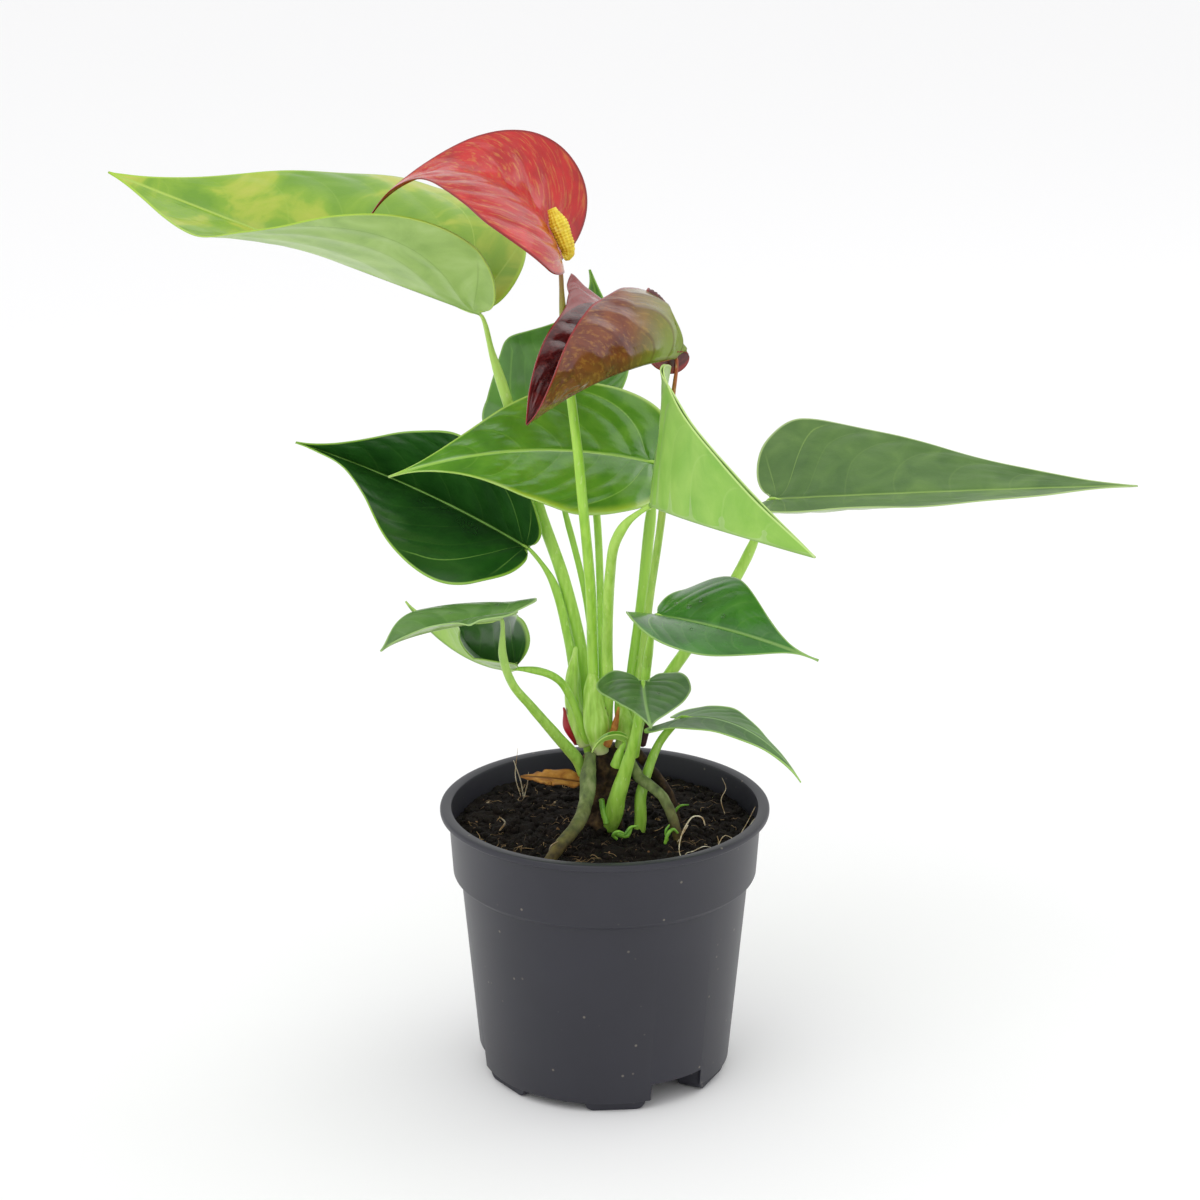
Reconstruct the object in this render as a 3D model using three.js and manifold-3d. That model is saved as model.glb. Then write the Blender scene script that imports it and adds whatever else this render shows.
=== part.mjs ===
// A potted anthurium: a nursery pot full of peat, with the plant standing in it.
// Millimetres and degrees, +Z up. The origin is the middle of the underside of the whole object's box.
import * as THREE from 'three';
import { mergeVertices } from 'three/addons/utils/BufferGeometryUtils.js';
import Module from 'manifold-3d';

// ---------------------------------------------------------------- driving dimensions
const CLEARANCE = 0.3; // air left between two pieces that touch

// The pot, an injection-moulded nursery pot
const POT_HEIGHT = 102;
const POT_RIM_DIAMETER = 120;
const POT_TAPER = 28; // how much narrower across the base is than the rim
const POT_WALL = 1.3;
const LIP_HEIGHT = 2.6;
const LIP_OVERHANG = 3.1; // how far the lip stands out past the collar
const COLLAR_DEPTH = 25; // from the rim down to the underside of the collar
const COLLAR_STEP = 2.9; // how far the collar stands out past the wall below it
const COLLAR_CHAMFER = 2.6;
const COLLAR_TAPER = 1.5;
const FLOOR_HEIGHT = 10.4; // underside of the pot's floor above the ground
const SKIRT_HEIGHT = 3.5; // low edge of the wall, between the feet
const NOTCH_HEIGHT = 10; // top of the three drain notches in the skirt
const FOOT_COUNT = 6;
const FOOT_WIDTH = 22;
const FOOT_DEPTH = 9;
const FOOT_INSET = 2.4; // from the wall's outer face to the foot's
const FOOT_CORNER = 3.5;
const FIRST_FOOT_ANGLE = -25;
const DRAIN_HOLE_DIAMETER = 9;
const DRAIN_HOLE_INSET = 22; // from the wall's outer face to the middle of a hole

// The peat in the pot
const SOIL_BELOW_RIM = 7;
const SOIL_BUMP = 1.1;

// The plant
const BLADE_THICKNESS = 0.8;
const SPATHE_THICKNESS = 0.9;
const BLADE_NECK = 2.2; // half the blade's width where it joins its stalk
const TIP_THINNESS = 0.16; // a blade thins out where it is narrow: half its thickness at a point
const STALK_GAP = 1.2; // from the end of the stalk to the middle of the blade's sheet
const ROOTSTOCK_HEIGHT = 29;
const ROOTSTOCK_RADIUS = 7.5;

// ---------------------------------------------------------------- places that follow from them
const RIM_RADIUS = POT_RIM_DIAMETER / 2;
const BASE_RADIUS = (POT_RIM_DIAMETER - POT_TAPER) / 2;
const COLLAR_RADIUS = RIM_RADIUS - LIP_OVERHANG;
const WALL_TOP_RADIUS = COLLAR_RADIUS - COLLAR_TAPER - COLLAR_STEP;
const COLLAR_BOTTOM = POT_HEIGHT - COLLAR_DEPTH;
const WALL_TOP = COLLAR_BOTTOM - COLLAR_CHAMFER;
const LIP_BOTTOM = POT_HEIGHT - LIP_HEIGHT;
const FLOOR_TOP = FLOOR_HEIGHT + POT_WALL;
const SOIL_TOP = POT_HEIGHT - SOIL_BELOW_RIM;

// Outer radius of the wall below the collar, at height z.
const wallRadius = (z) =>
  BASE_RADIUS + ((WALL_TOP_RADIUS - BASE_RADIUS) * (z - SKIRT_HEIGHT)) / (WALL_TOP - SKIRT_HEIGHT);

// Inner radius of the collar, at height z.
const collarInnerRadius = (z) =>
  COLLAR_RADIUS - POT_WALL - (COLLAR_TAPER * (LIP_BOTTOM - z)) / (LIP_BOTTOM - COLLAR_BOTTOM);

const SOIL_RADIUS = collarInnerRadius(SOIL_TOP) - CLEARANCE;

// ---------------------------------------------------------------- solids
const wasm = await Module();
wasm.setup();

const radians = THREE.MathUtils.degToRad;
const vector = (point) => new THREE.Vector3(...point);

// A geometry as a solid that can be joined and cut.
function solidFrom(geometry) {
  const bare = geometry.clone();
  bare.deleteAttribute('normal');
  bare.deleteAttribute('uv');
  const merged = mergeVertices(bare, 1e-4);
  const corners = merged.index.array;
  const kept = [];
  for (let i = 0; i < corners.length; i += 3) {
    const [a, b, c] = corners.slice(i, i + 3);
    if (a !== b && b !== c && c !== a) kept.push(a, b, c);
  }
  return new wasm.Manifold(
    new wasm.Mesh({
      numProp: 3,
      vertProperties: merged.attributes.position.array,
      triVerts: new Uint32Array(kept),
    }),
  );
}

function geometryFrom(solid) {
  const mesh = solid.getMesh();
  const geometry = new THREE.BufferGeometry();
  geometry.setAttribute('position', new THREE.BufferAttribute(mesh.vertProperties, 3));
  geometry.setIndex(new THREE.BufferAttribute(mesh.triVerts, 1));
  const faceted = geometry.toNonIndexed();
  faceted.computeVertexNormals();
  return faceted;
}

const largestBody = (solid) =>
  solid.decompose().reduce((best, body) => (body.volume() > best.volume() ? body : best));

// Moves every vertex of a geometry to the place that the function gives for it.
function mapVertices(geometry, place) {
  const position = geometry.attributes.position;
  const point = new THREE.Vector3();
  for (let i = 0; i < position.count; i += 1) {
    point.fromBufferAttribute(position, i);
    position.setXYZ(i, ...place(point.clone()).toArray());
  }
  return geometry;
}

// A round stem that follows a smooth curve through the points, with a radius at each point. It grows
// by grow all round, and stops short of its last point.
function stemGeometry(points, radii, { sides = 8, steps = 12, grow = 0, short = 0 } = {}) {
  const curve = new THREE.CatmullRomCurve3(points.map(vector), false, 'centripetal');
  const reach = 1 - short / curve.getLength();
  const frames = curve.computeFrenetFrames(steps, false);
  const radiusAt = (t) => {
    const place = t * (radii.length - 1);
    const before = Math.min(Math.floor(place), radii.length - 2);
    return THREE.MathUtils.lerp(radii[before], radii[before + 1], place - before) + grow;
  };
  return mapVertices(new THREE.CylinderGeometry(1, 1, 1, sides, steps), (vertex) => {
    const t = 0.5 - vertex.y;
    const row = Math.round(t * steps);
    const end = curve.getPointAt(THREE.MathUtils.clamp(t, 0, 1) * reach);
    const past = frames.tangents[row].clone().multiplyScalar(t < 0.5 ? -grow : grow);
    if (row === 0 || row === steps) end.add(past);
    return end
      .addScaledVector(frames.normals[row], vertex.x * radiusAt(t))
      .addScaledVector(frames.binormals[row], vertex.z * radiusAt(t));
  });
}

const cubic = (t, a, b, c, d) =>
  (1 - t) ** 3 * a + 3 * (1 - t) ** 2 * t * b + 3 * (1 - t) * t * t * c + t ** 3 * d;

// Half the outline of a heart-shaped blade: q runs from the notch (0) to the tip (1). The answer is
// how far along the midrib a point of the margin is, and how far out from it.
const WIDEST = 0.42;
function margin(q, { length, halfWidth, lobe, tipFullness, shoulder }) {
  if (q < WIDEST) {
    const t = q / WIDEST;
    return {
      along: cubic(t, 0, -1.25 * lobe, -1.15 * lobe, shoulder * length),
      out: cubic(t, BLADE_NECK, BLADE_NECK + 0.05 * halfWidth, halfWidth, halfWidth),
    };
  }
  const t = (q - WIDEST) / (1 - WIDEST);
  return {
    along: cubic(t, shoulder * length, (shoulder + 0.25) * length, 0.7 * length, length),
    out: cubic(t, halfWidth, halfWidth, tipFullness * halfWidth, 0.25),
  };
}

// The midrib and the blade's axes at a distance along the midrib. Behind the notch, where that
// distance is negative, the lobes go straight back or bend down by backBend.
const MIDRIB_STEPS = 40;
const NOTCH_END = 0.12; // closer to the notch than this, the margin runs back too steeply to face by
function midrib(base, blade, along) {
  const { length, heading, rise, droop, veer, roll, twist, lobe, backBend = 0 } = blade;
  const direction = (t) => {
    const yaw = radians(heading + veer * t);
    const pitch = radians(rise - droop * t);
    return new THREE.Vector3(
      Math.cos(pitch) * Math.cos(yaw),
      Math.cos(pitch) * Math.sin(yaw),
      Math.sin(pitch),
    );
  };
  const t = THREE.MathUtils.clamp(along / length, 0, 1);
  const centre = vector(base);
  const step = length / MIDRIB_STEPS;
  for (let i = 0; i < MIDRIB_STEPS; i += 1) {
    const run = THREE.MathUtils.clamp(t * length - i * step, 0, step);
    centre.addScaledVector(direction((i + 0.5) / MIDRIB_STEPS), run);
  }
  const forward = direction(t);
  const yaw = radians(heading + veer * t);
  const level = new THREE.Vector3(-Math.sin(yaw), Math.cos(yaw), 0);
  const left = level.applyAxisAngle(forward, radians(roll + twist * t));
  const up = forward.clone().cross(left);
  if (along < 0) {
    const bend = Math.max(radians(backBend) * (-along / lobe), 1e-6);
    centre.addScaledVector(forward, (along * Math.sin(bend)) / bend);
    centre.addScaledVector(up, (along * (1 - Math.cos(bend))) / bend);
    up.applyAxisAngle(left, bend);
  }
  return { centre, left, up, t };
}

// A point of the blade: q from notch to tip, s from the right margin (-1) to the left one (1).
function bladePoint(base, blade, q, s) {
  const edge = margin(q, blade);
  const side = Math.abs(s);
  const along = (1 - side) * blade.length * q ** 1.25 + side * edge.along;
  const flare = s < 0 ? (blade.flareRight ?? 0) * Math.exp(-(((q - 0.45) / 0.12) ** 2)) : 0;
  const out = side * edge.out * (1 + flare);
  const { centre, left, up, t } = midrib(base, blade, along);
  const [fold, open, curl] = s < 0 ? blade.right : blade.left;
  const angle = radians(fold + open * t);
  const bend = radians(Math.abs(curl) < 0.01 ? 0.01 : curl) / blade.halfWidth;
  const across = (Math.sin(angle + bend * out) - Math.sin(angle)) / bend;
  const height = (Math.cos(angle) - Math.cos(angle + bend * out)) / bend;
  return centre.addScaledVector(left, Math.sign(s) * across).addScaledVector(up, height);
}

// A leaf blade or spathe as a thin closed sheet, which grows by grow all round.
function bladeGeometry(base, blade, thickness, { rows = 11, columns = 3, grow = 0 } = {}) {
  const sheet = new THREE.BoxGeometry(1, 2, 1, rows, 2 * columns, 1);
  // The underside's squares are split the same way as the upper side's, so that the two never cross.
  const underside = sheet.groups[5];
  for (let i = underside.start; i < underside.start + underside.count; i += 6) {
    const [a, b, d, , c] = sheet.index.array.slice(i, i + 6);
    sheet.index.array.set([a, b, c, a, c, d], i);
  }
  const nudge = 0.004;
  return mapVertices(sheet, (vertex) => {
    const q = THREE.MathUtils.clamp(vertex.x + 0.5, 0, 1);
    const clear = Math.max(q, NOTCH_END);
    const at = (dq, ds) =>
      bladePoint(
        base,
        blade,
        THREE.MathUtils.clamp(clear + dq, 0, 1),
        THREE.MathUtils.clamp(vertex.y + ds, -1, 1),
      );
    const lengthways = at(nudge, 0).sub(at(-nudge, 0));
    const sideways = at(0, nudge).sub(at(0, -nudge));
    const normal = lengthways.clone().cross(sideways).normalize();
    const half = Math.min(thickness / 2, TIP_THINNESS * (1 + margin(q, blade).out)) + grow;
    const point = bladePoint(base, blade, q, vertex.y).addScaledVector(normal, 2 * vertex.z * half);
    if (q === 0 || q === 1) point.addScaledVector(lengthways.normalize(), (2 * q - 1) * grow);
    if (Math.abs(vertex.y) === 1) point.addScaledVector(sideways.normalize(), vertex.y * grow);
    return point;
  });
}

// ---------------------------------------------------------------- materials
const finish = (color, roughness) => new THREE.MeshStandardMaterial({ color, roughness, metalness: 0 });
const POT_PLASTIC = finish('#3a3d44', 0.5);
const PEAT = finish('#2a211b', 0.95);
const BARK = finish('#3b2a1f', 0.8);
const ROOT_SKIN = finish('#7d8468', 0.7);
const PETIOLE_GREEN = finish('#9ccb4a', 0.45);
const SHEATH_GREEN = finish('#c4dc84', 0.5);
const LEAF_GREEN = finish('#3f7d33', 0.35);
const YOUNG_LEAF = finish('#8cc63f', 0.3);
const SPATHE_RED = finish('#c2403a', 0.3);
const SPATHE_MAROON = finish('#7a3426', 0.3);
const SPADIX_YELLOW = finish('#e6c84b', 0.55);
const DRY_BROWN = finish('#b9772c', 0.7);
const BUD_RED = finish('#a31f2b', 0.4);

// ---------------------------------------------------------------- pot
function potGeometry() {
  const innerFloorRadius = wallRadius(FLOOR_TOP) - POT_WALL;
  const lipRound = Math.min(0.9, LIP_HEIGHT / 3);
  const profile = [
    [0, FLOOR_HEIGHT],
    [wallRadius(FLOOR_HEIGHT) - POT_WALL, FLOOR_HEIGHT],
    [BASE_RADIUS - POT_WALL, SKIRT_HEIGHT],
    [BASE_RADIUS, SKIRT_HEIGHT],
    [WALL_TOP_RADIUS, WALL_TOP],
    [COLLAR_RADIUS - COLLAR_TAPER, COLLAR_BOTTOM],
    [COLLAR_RADIUS, LIP_BOTTOM],
    [RIM_RADIUS - lipRound, LIP_BOTTOM],
    [RIM_RADIUS, LIP_BOTTOM + lipRound],
    [RIM_RADIUS, POT_HEIGHT - lipRound],
    [RIM_RADIUS - lipRound, POT_HEIGHT],
    [COLLAR_RADIUS - POT_WALL + lipRound, POT_HEIGHT],
    [COLLAR_RADIUS - POT_WALL, LIP_BOTTOM],
    [COLLAR_RADIUS - COLLAR_TAPER - POT_WALL, COLLAR_BOTTOM],
    [WALL_TOP_RADIUS - POT_WALL, WALL_TOP],
    [innerFloorRadius, FLOOR_TOP],
    [0, FLOOR_TOP],
  ].map(([radius, z]) => new THREE.Vector2(radius, z));
  let pot = solidFrom(new THREE.LatheGeometry(profile, 60).rotateX(Math.PI / 2));

  // Three notches in the skirt let water out sideways, one between every other pair of feet.
  const pitch = 360 / FOOT_COUNT;
  for (let i = 0; i < FOOT_COUNT; i += 2) {
    const angle = radians(FIRST_FOOT_ANGLE - pitch * (i + 0.5));
    const notch = new THREE.BoxGeometry(12, FOOT_WIDTH, NOTCH_HEIGHT);
    notch.translate(BASE_RADIUS, 0, NOTCH_HEIGHT / 2).rotateZ(angle);
    pot = pot.subtract(solidFrom(notch));
  }
  for (let i = 0; i < FOOT_COUNT; i += 1) {
    pot = pot.add(solidFrom(footGeometry(radians(FIRST_FOOT_ANGLE - pitch * i))));
    const hole = new THREE.CylinderGeometry(
      DRAIN_HOLE_DIAMETER / 2,
      DRAIN_HOLE_DIAMETER / 2,
      4 * POT_WALL,
      12,
    );
    hole.rotateX(Math.PI / 2);
    hole.translate(BASE_RADIUS - DRAIN_HOLE_INSET, 0, FLOOR_HEIGHT + POT_WALL / 2);
    pot = pot.subtract(solidFrom(hole.rotateZ(radians(FIRST_FOOT_ANGLE - pitch * (i + 0.5)))));
  }
  return geometryFrom(pot);
}

// A foot is a block with round lower corners, moulded onto the underside of the floor.
function footGeometry(angle) {
  const half = FOOT_WIDTH / 2;
  const top = FLOOR_HEIGHT + POT_WALL / 2;
  const outline = new THREE.Shape();
  outline.moveTo(-half, top);
  outline.lineTo(-half, FOOT_CORNER);
  outline.absarc(-half + FOOT_CORNER, FOOT_CORNER, FOOT_CORNER, Math.PI, 1.5 * Math.PI, false);
  outline.absarc(half - FOOT_CORNER, FOOT_CORNER, FOOT_CORNER, 1.5 * Math.PI, 2 * Math.PI, false);
  outline.lineTo(half, top);
  const foot = new THREE.ExtrudeGeometry(outline, {
    depth: FOOT_DEPTH,
    bevelEnabled: false,
    curveSegments: 4,
  });
  foot.rotateX(Math.PI / 2).rotateZ(Math.PI / 2);
  return foot.translate(BASE_RADIUS - FOOT_INSET - FOOT_DEPTH, 0, 0).rotateZ(angle);
}

// ---------------------------------------------------------------- soil
const SOIL_RINGS = [0.2, 0.45, 0.7, 0.9];
function soilGeometry() {
  const bottom = FLOOR_TOP + CLEARANCE;
  const crease = WALL_TOP;
  const profile = [
    [0, bottom],
    [wallRadius(bottom) - POT_WALL - CLEARANCE, bottom],
    [WALL_TOP_RADIUS - POT_WALL - CLEARANCE, crease],
    [collarInnerRadius(COLLAR_BOTTOM) - CLEARANCE, COLLAR_BOTTOM],
    [SOIL_RADIUS, SOIL_TOP - SOIL_BUMP],
    ...SOIL_RINGS.toReversed().map((share) => [share * SOIL_RADIUS, SOIL_TOP]),
    [0, SOIL_TOP],
  ].map(([radius, z]) => new THREE.Vector2(radius, z));
  const soil = new THREE.LatheGeometry(profile, 36).rotateX(Math.PI / 2);
  const inside = SOIL_RADIUS * 0.95;
  return mapVertices(soil, (vertex) => {
    const flat = Math.hypot(vertex.x, vertex.y);
    if (vertex.z > COLLAR_BOTTOM && flat < inside) {
      const waves = Math.sin(vertex.x * 0.31) * Math.cos(vertex.y * 0.27 + 1);
      vertex.z += SOIL_BUMP * waves - SOIL_BUMP / 2;
    }
    return vertex;
  });
}

// ---------------------------------------------------------------- the plant
// Its heights are above the soil and its sides from the pot's axis. A blade's heading is the way
// that its midrib sets out, 0 along +X and 90 along +Y; rise is its slope there, droop how much it
// bows down by the tip, veer how much it turns, roll and twist how it leans to the side. Each half
// has its fold up from the midrib, how much that changes by the tip, and its curl by the margin.
const LEAVES = [
  {
    name: 'front_heart',
    petiole: [[3.5, -10, 8], [4.5, -12, 14], [7, -13, 23], [10.5, -17, 38], [12.5, -21, 52.5],
      [13.5, -22, 61.5]],
    radii: [3, 5, 3.2, 2.4, 1.7, 1.5],
    blade: { length: 42, halfWidth: 16.7, lobe: 9.3, tipFullness: 0.13, shoulder: 0.16, heading: -89.5,
      rise: -3, droop: -1.5, veer: 5, roll: -4, twist: -10, left: [2, -9, 16], right: [6.5, -3, -17] },
    finish: LEAF_GREEN,
  },
  {
    name: 'small_left',
    petiole: [[-7.5, -4, 19.5], [-9.5, -6, 25.5], [-17, -14, 38], [-26, -24, 53], [-32.5, -33, 65],
      [-35.5, -38, 77], [-36, -40, 91]],
    radii: [2.2, 2.2, 2, 1.8, 1.6, 1.5, 1.4],
    blade: { length: 53, halfWidth: 21.5, lobe: 12, tipFullness: 0.02, shoulder: 0.13, heading: 163.5,
      rise: -12, droop: -17, veer: 96, roll: -2, twist: -1, left: [35, 11, -37], right: [25, 12, -60] },
    finish: LEAF_GREEN,
  },
  {
    name: 'folded_left',
    petiole: [[-5.5, 1, 26], [-8.5, -2, 38], [-12, -4, 48.5], [-16, -7, 56.5], [-22, -10, 61],
      [-31.5, -12, 63]],
    radii: [1.8, 1.7, 1.6, 1.5, 1.4, 1.3],
    blade: { length: 58, halfWidth: 21, lobe: 11.5, tipFullness: 0.12, shoulder: 0.2, heading: 132,
      rise: -19, droop: -69, veer: 20, roll: -32, twist: 66, left: [49, 24, 13], right: [61, 0, -45] },
    finish: LEAF_GREEN,
  },
  {
    name: 'small_right',
    petiole: [[13, -7, 4], [13, -6.5, 12], [15.5, -4, 21], [19.5, -1.5, 30.5], [23.5, -2, 36.5],
      [27.8, -5, 42]],
    radii: [2.4, 2.1, 1.9, 1.7, 1.5, 1.3],
    blade: { length: 54, halfWidth: 19.4, lobe: 11.8, tipFullness: 0.11, shoulder: 0.14, heading: -29.3,
      rise: 17.7, droop: 72, veer: 0, roll: -10, twist: -19, left: [-1, -5, 15], right: [-16, -4, 17] },
    finish: LEAF_GREEN,
  },
  {
    name: 'lower_right',
    petiole: [[10, -2, 26], [13.5, -8, 50], [16, -16, 74], [17.9, -22, 86.4]],
    radii: [2.4, 2, 1.7, 1.5],
    blade: { length: 66.5, halfWidth: 23.8, lobe: 4.4, tipFullness: -0.09, shoulder: 0.22, heading: -38.3,
      rise: 5, droop: 17, veer: 8.5, roll: 6.5, twist: 51, left: [16, 2, -15], right: [25, -19, -1] },
    finish: LEAF_GREEN,
  },
  {
    name: 'front_right',
    petiole: [[0, 0, 33.5], [1, -3, 52], [0.8, -7, 68.5], [1, -11, 81.5], [1.8, -18, 100],
      [3.5, -24, 113.5], [8, -28, 122.5], [15.5, -30, 128.6]],
    radii: [2.6, 2.3, 2.1, 2, 1.9, 1.9, 1.8, 1.7],
    blade: { length: 118, halfWidth: 49, lobe: 26, tipFullness: 0.43, shoulder: 0.05, heading: -90,
      rise: 15, droop: 17.5, veer: 53, roll: 3.4, twist: 10, left: [77, 6, 3], right: [104, 0, -9] },
    finish: YOUNG_LEAF,
  },
  {
    name: 'centre',
    petiole: [[7, 5, 27], [10.5, 6, 58], [13.5, 8, 82], [15.5, 10, 104], [17, 10.5, 119], [17.8, 9, 133.1]],
    radii: [3, 2.4, 2.3, 2.2, 2.1, 1.9],
    blade: { length: 96, halfWidth: 28, lobe: 7, tipFullness: 0.08, shoulder: 0.26, heading: 181,
      rise: 14, droop: 32, veer: 6, roll: -32, twist: 0, left: [4.5, -3.5, -14], right: [5.5, -4, 22.6] },
    finish: YOUNG_LEAF,
  },
  {
    name: 'mid_left',
    petiole: [[-8, 6, 27.5], [-10.5, 7, 49], [-13.5, 9.5, 68], [-19, 13, 88], [-27.3, 15, 99.3]],
    radii: [2.2, 1.9, 1.7, 1.6, 1.5],
    blade: { length: 111.6, halfWidth: 38.5, lobe: 9, tipFullness: 0.18, shoulder: 0.21, heading: 137,
      rise: 14, droop: 5, veer: 15, roll: -45, twist: 7, left: [41, 18.5, -26.5],
      right: [57.6, 12.7, 15.7] },
    finish: LEAF_GREEN,
  },
  {
    name: 'right',
    petiole: [[9, 5, 26], [20, 7, 48.5], [31, 9, 65], [45, 10, 86], [53, 11, 102], [59, 10, 119.4]],
    radii: [2.8, 2.3, 2.2, 2.1, 2, 1.8],
    blade: { length: 130, halfWidth: 40.5, lobe: 7.8, tipFullness: 0.15, shoulder: 0.07, heading: -10.8,
      rise: 6, droop: 4.7, veer: 11.5, roll: 7.3, twist: -7.4, left: [21, -6, 2], right: [3, -2, 26] },
    finish: LEAF_GREEN,
  },
  {
    name: 'top_left',
    petiole: [[-6, 11, 25.5], [-8, 12, 57], [-14.5, 15, 86.5], [-23.5, 20, 112.5], [-29, 24, 132],
      [-35, 26, 151.5], [-40, 25, 168.5], [-44.1, 20, 184.6]],
    radii: [3.2, 2.6, 2.4, 2.3, 2.2, 2.1, 2, 1.8],
    blade: { length: 159, halfWidth: 57, lobe: 10.5, tipFullness: 0.13, shoulder: 0.27, heading: 161,
      rise: 15.4, droop: 3, veer: -13, roll: -12.7, twist: -15, left: [61, -62.5, 12],
      right: [47, -35.6, -59] },
    finish: YOUNG_LEAF,
  },
  {
    name: 'back',
    petiole: [[-1.5, 10, 27], [-1, 12, 50.5], [-1.5, 17, 78.5], [-3, 27, 109], [-6, 38, 126],
      [-15, 43, 133], [-23.6, 45, 135.5]],
    radii: [2, 1.6, 1.5, 1.4, 1.4, 1.4, 1.3],
    blade: { length: 67.5, halfWidth: 32.4, lobe: 15.6, tipFullness: 0.08, shoulder: 0.35, heading: 41.3,
      rise: 23, droop: -89, veer: -11.7, roll: -2.6, twist: 42.4, left: [21, 24, -10], right: [24, 2, 0] },
    finish: LEAF_GREEN,
  },
];

const FLOWERS = [
  {
    name: 'open',
    peduncle: [[-3.5, 1, 33], [-4, -2, 51.5], [-4.5, -5, 71.5], [-4.8, -9, 87], [-6, -15, 106],
      [-7.5, -20, 124], [-9.5, -20, 146], [-12, -16.5, 166.5], [-14.5, -14, 194], [-15.7, -14, 211.8]],
    radii: [2.4, 2.1, 2, 1.9, 1.9, 1.8, 1.8, 1.7, 1.6, 1.5],
    spadix: [[-12.6, -14.5, 213.8], [-14.7, -13.7, 221], [-18.2, -12.6, 229]],
    spadixRadius: 3.2,
    blade: { length: 87.4, halfWidth: 36, lobe: 5.3, tipFullness: 0.07, shoulder: 0.27, heading: 166.7,
      rise: 76, droop: 134, veer: -2, roll: 8, twist: -24, left: [17.5, 8, -51], right: [-24, 22, 89] },
    finish: SPATHE_RED,
  },
  {
    name: 'curled',
    peduncle: [[8.5, 0, 30], [13, 2, 59], [16, 0, 85], [20, -7, 118], [23.5, -11, 161.5],
      [24.5, -12, 176.9]],
    radii: [2.2, 1.6, 1.5, 1.4, 1.4, 1.4],
    spadix: [[20.3, -13, 183.6], [14.4, -19, 184], [8.4, -24.7, 183.4]],
    spadixRadius: 2.4,
    blade: { length: 64, halfWidth: 30.8, lobe: 21, tipFullness: 0.84, shoulder: 0.19, heading: 225.3,
      rise: 5, droop: 38.7, veer: -27, roll: -4, twist: -45, left: [78.6, -8, 104.6],
      right: [20.6, 9.6, -7], backBend: 89, flareRight: 0.48 },
    finish: SPATHE_MAROON,
  },
];

// A point of a root by the soil, its sides as shares of the soil's radius.
const onSoil = (x, y, z) => [x * SOIL_RADIUS, y * SOIL_RADIUS, z];

// Stem-like pieces round the crown: [name, points, radii, finish].
const CROWN_PIECES = [
  ['rootstock', [[0, -3, -7], [0, -2, 4], [-0.5, 1, 16], [0, 3, ROOTSTOCK_HEIGHT]],
    [0.8 * ROOTSTOCK_RADIUS, ROOTSTOCK_RADIUS, ROOTSTOCK_RADIUS, 0.85 * ROOTSTOCK_RADIUS], BARK],
  ['sheath_front', [[-1.5, -4, 28], [-2.5, -5, 37], [-4, -4.5, 48], [-4.5, -3, 62]],
    [3, 4.8, 3.6, 1], SHEATH_GREEN],
  ['sheath_left', [[-6.5, 1, 29], [-10.5, 1, 40.5], [-12, 2, 49.5], [-10.5, 3.5, 66]],
    [3, 3, 2.4, 0.8], SHEATH_GREEN],
  ['sheath_right', [[6.5, -1, 29], [7.5, -2, 36], [6, 0, 44.5], [6.5, 3, 56]],
    [3, 3.2, 2.4, 0.8], SHEATH_GREEN],
  ['aerial_root_front', [[-5, -7, 29.5], [-6, -11, 22], [-6.5, -16, 15], onSoil(-0.17, -0.45, 9.5),
    onSoil(-0.29, -0.645, 4.5), onSoil(-0.4, -0.78, -1)], [2, 2.9, 2.5, 2.4, 2.3, 1.8], ROOT_SKIN],
  ['aerial_root_right', [[9, -3, 25.5], [12.5, -8, 20], [17, -12, 18], onSoil(0.39, -0.27, 14),
    onSoil(0.464, -0.364, 5), onSoil(0.482, -0.4, -2)], [1.6, 2, 1.9, 1.9, 1.8, 1.4], ROOT_SKIN],
  ['aerial_root_back', [[10, 4, 27], [15.5, 3, 21], onSoil(0.436, 0.02, 9), onSoil(0.49, 0, -2)],
    [2, 1.8, 1.6, 1.2], BARK],
  ['red_bud', [[-9.5, 8, 27], [-12.5, 8.5, 33], [-15, 8.5, 41]], [1.6, 2.4, 0.5], BUD_RED],
  ['dry_bract', [[0.5, -8, 32], [3.5, -8.5, 39.5], [5, -7.5, 47]], [1.4, 1.3, 0.5], DRY_BROWN],
  ['shoot_stub', [[-1.2, -9.5, 12.5], [-0.6, -10.5, 8.5], [0.6, -12, 3.5]],
    [1, 1.1, 1], YOUNG_LEAF],
  ['shoot_curl', [[9.5, -17, 4.5], [8, -19, 2], [5.5, -20, 2.4], [3.5, -21, 4]],
    [0.7, 0.9, 0.8, 0.6], YOUNG_LEAF],
  ['rolled_leaf', [[-3, 15, 26], [-4, 17, 56], [-7.5, 19, 83], [-14.5, 22, 111.5], [-19, 25, 128]],
    [1.6, 1.2, 1.2, 1.2, 0.5], PETIOLE_GREEN],
  ['new_leaf_stalk', [[4, -9.5, 25], [5.5, -11, 31], [7, -12, 35]], [2.2, 1.8, 1.1], PETIOLE_GREEN],
];

const NEW_LEAF = {
  base: [7, -12.5, 36],
  blade: { length: 14, halfWidth: 2.8, lobe: 0.5, tipFullness: 0.3, shoulder: 0.2, heading: 185,
    rise: 28, droop: 95, veer: 0, roll: 0, twist: 0, left: [40, 0, 20], right: [35, 0, 20] },
};

const DRIED_LEAF = {
  base: [-8.8, -3, 16.5],
  blade: { length: 22, halfWidth: 5, lobe: 0.5, tipFullness: 0.6, shoulder: 0.45, heading: 186,
    rise: 12, droop: 8, veer: 0, roll: -25, twist: 30, left: [15, -40, 10], right: [25, -20, -20] },
};

// Every piece is cut back by the ones before it, so the list runs from the stoutest to the softest.
const plant = new THREE.Group();
plant.name = 'plant';
plant.position.z = SOIL_TOP;
const placed = [];

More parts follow.
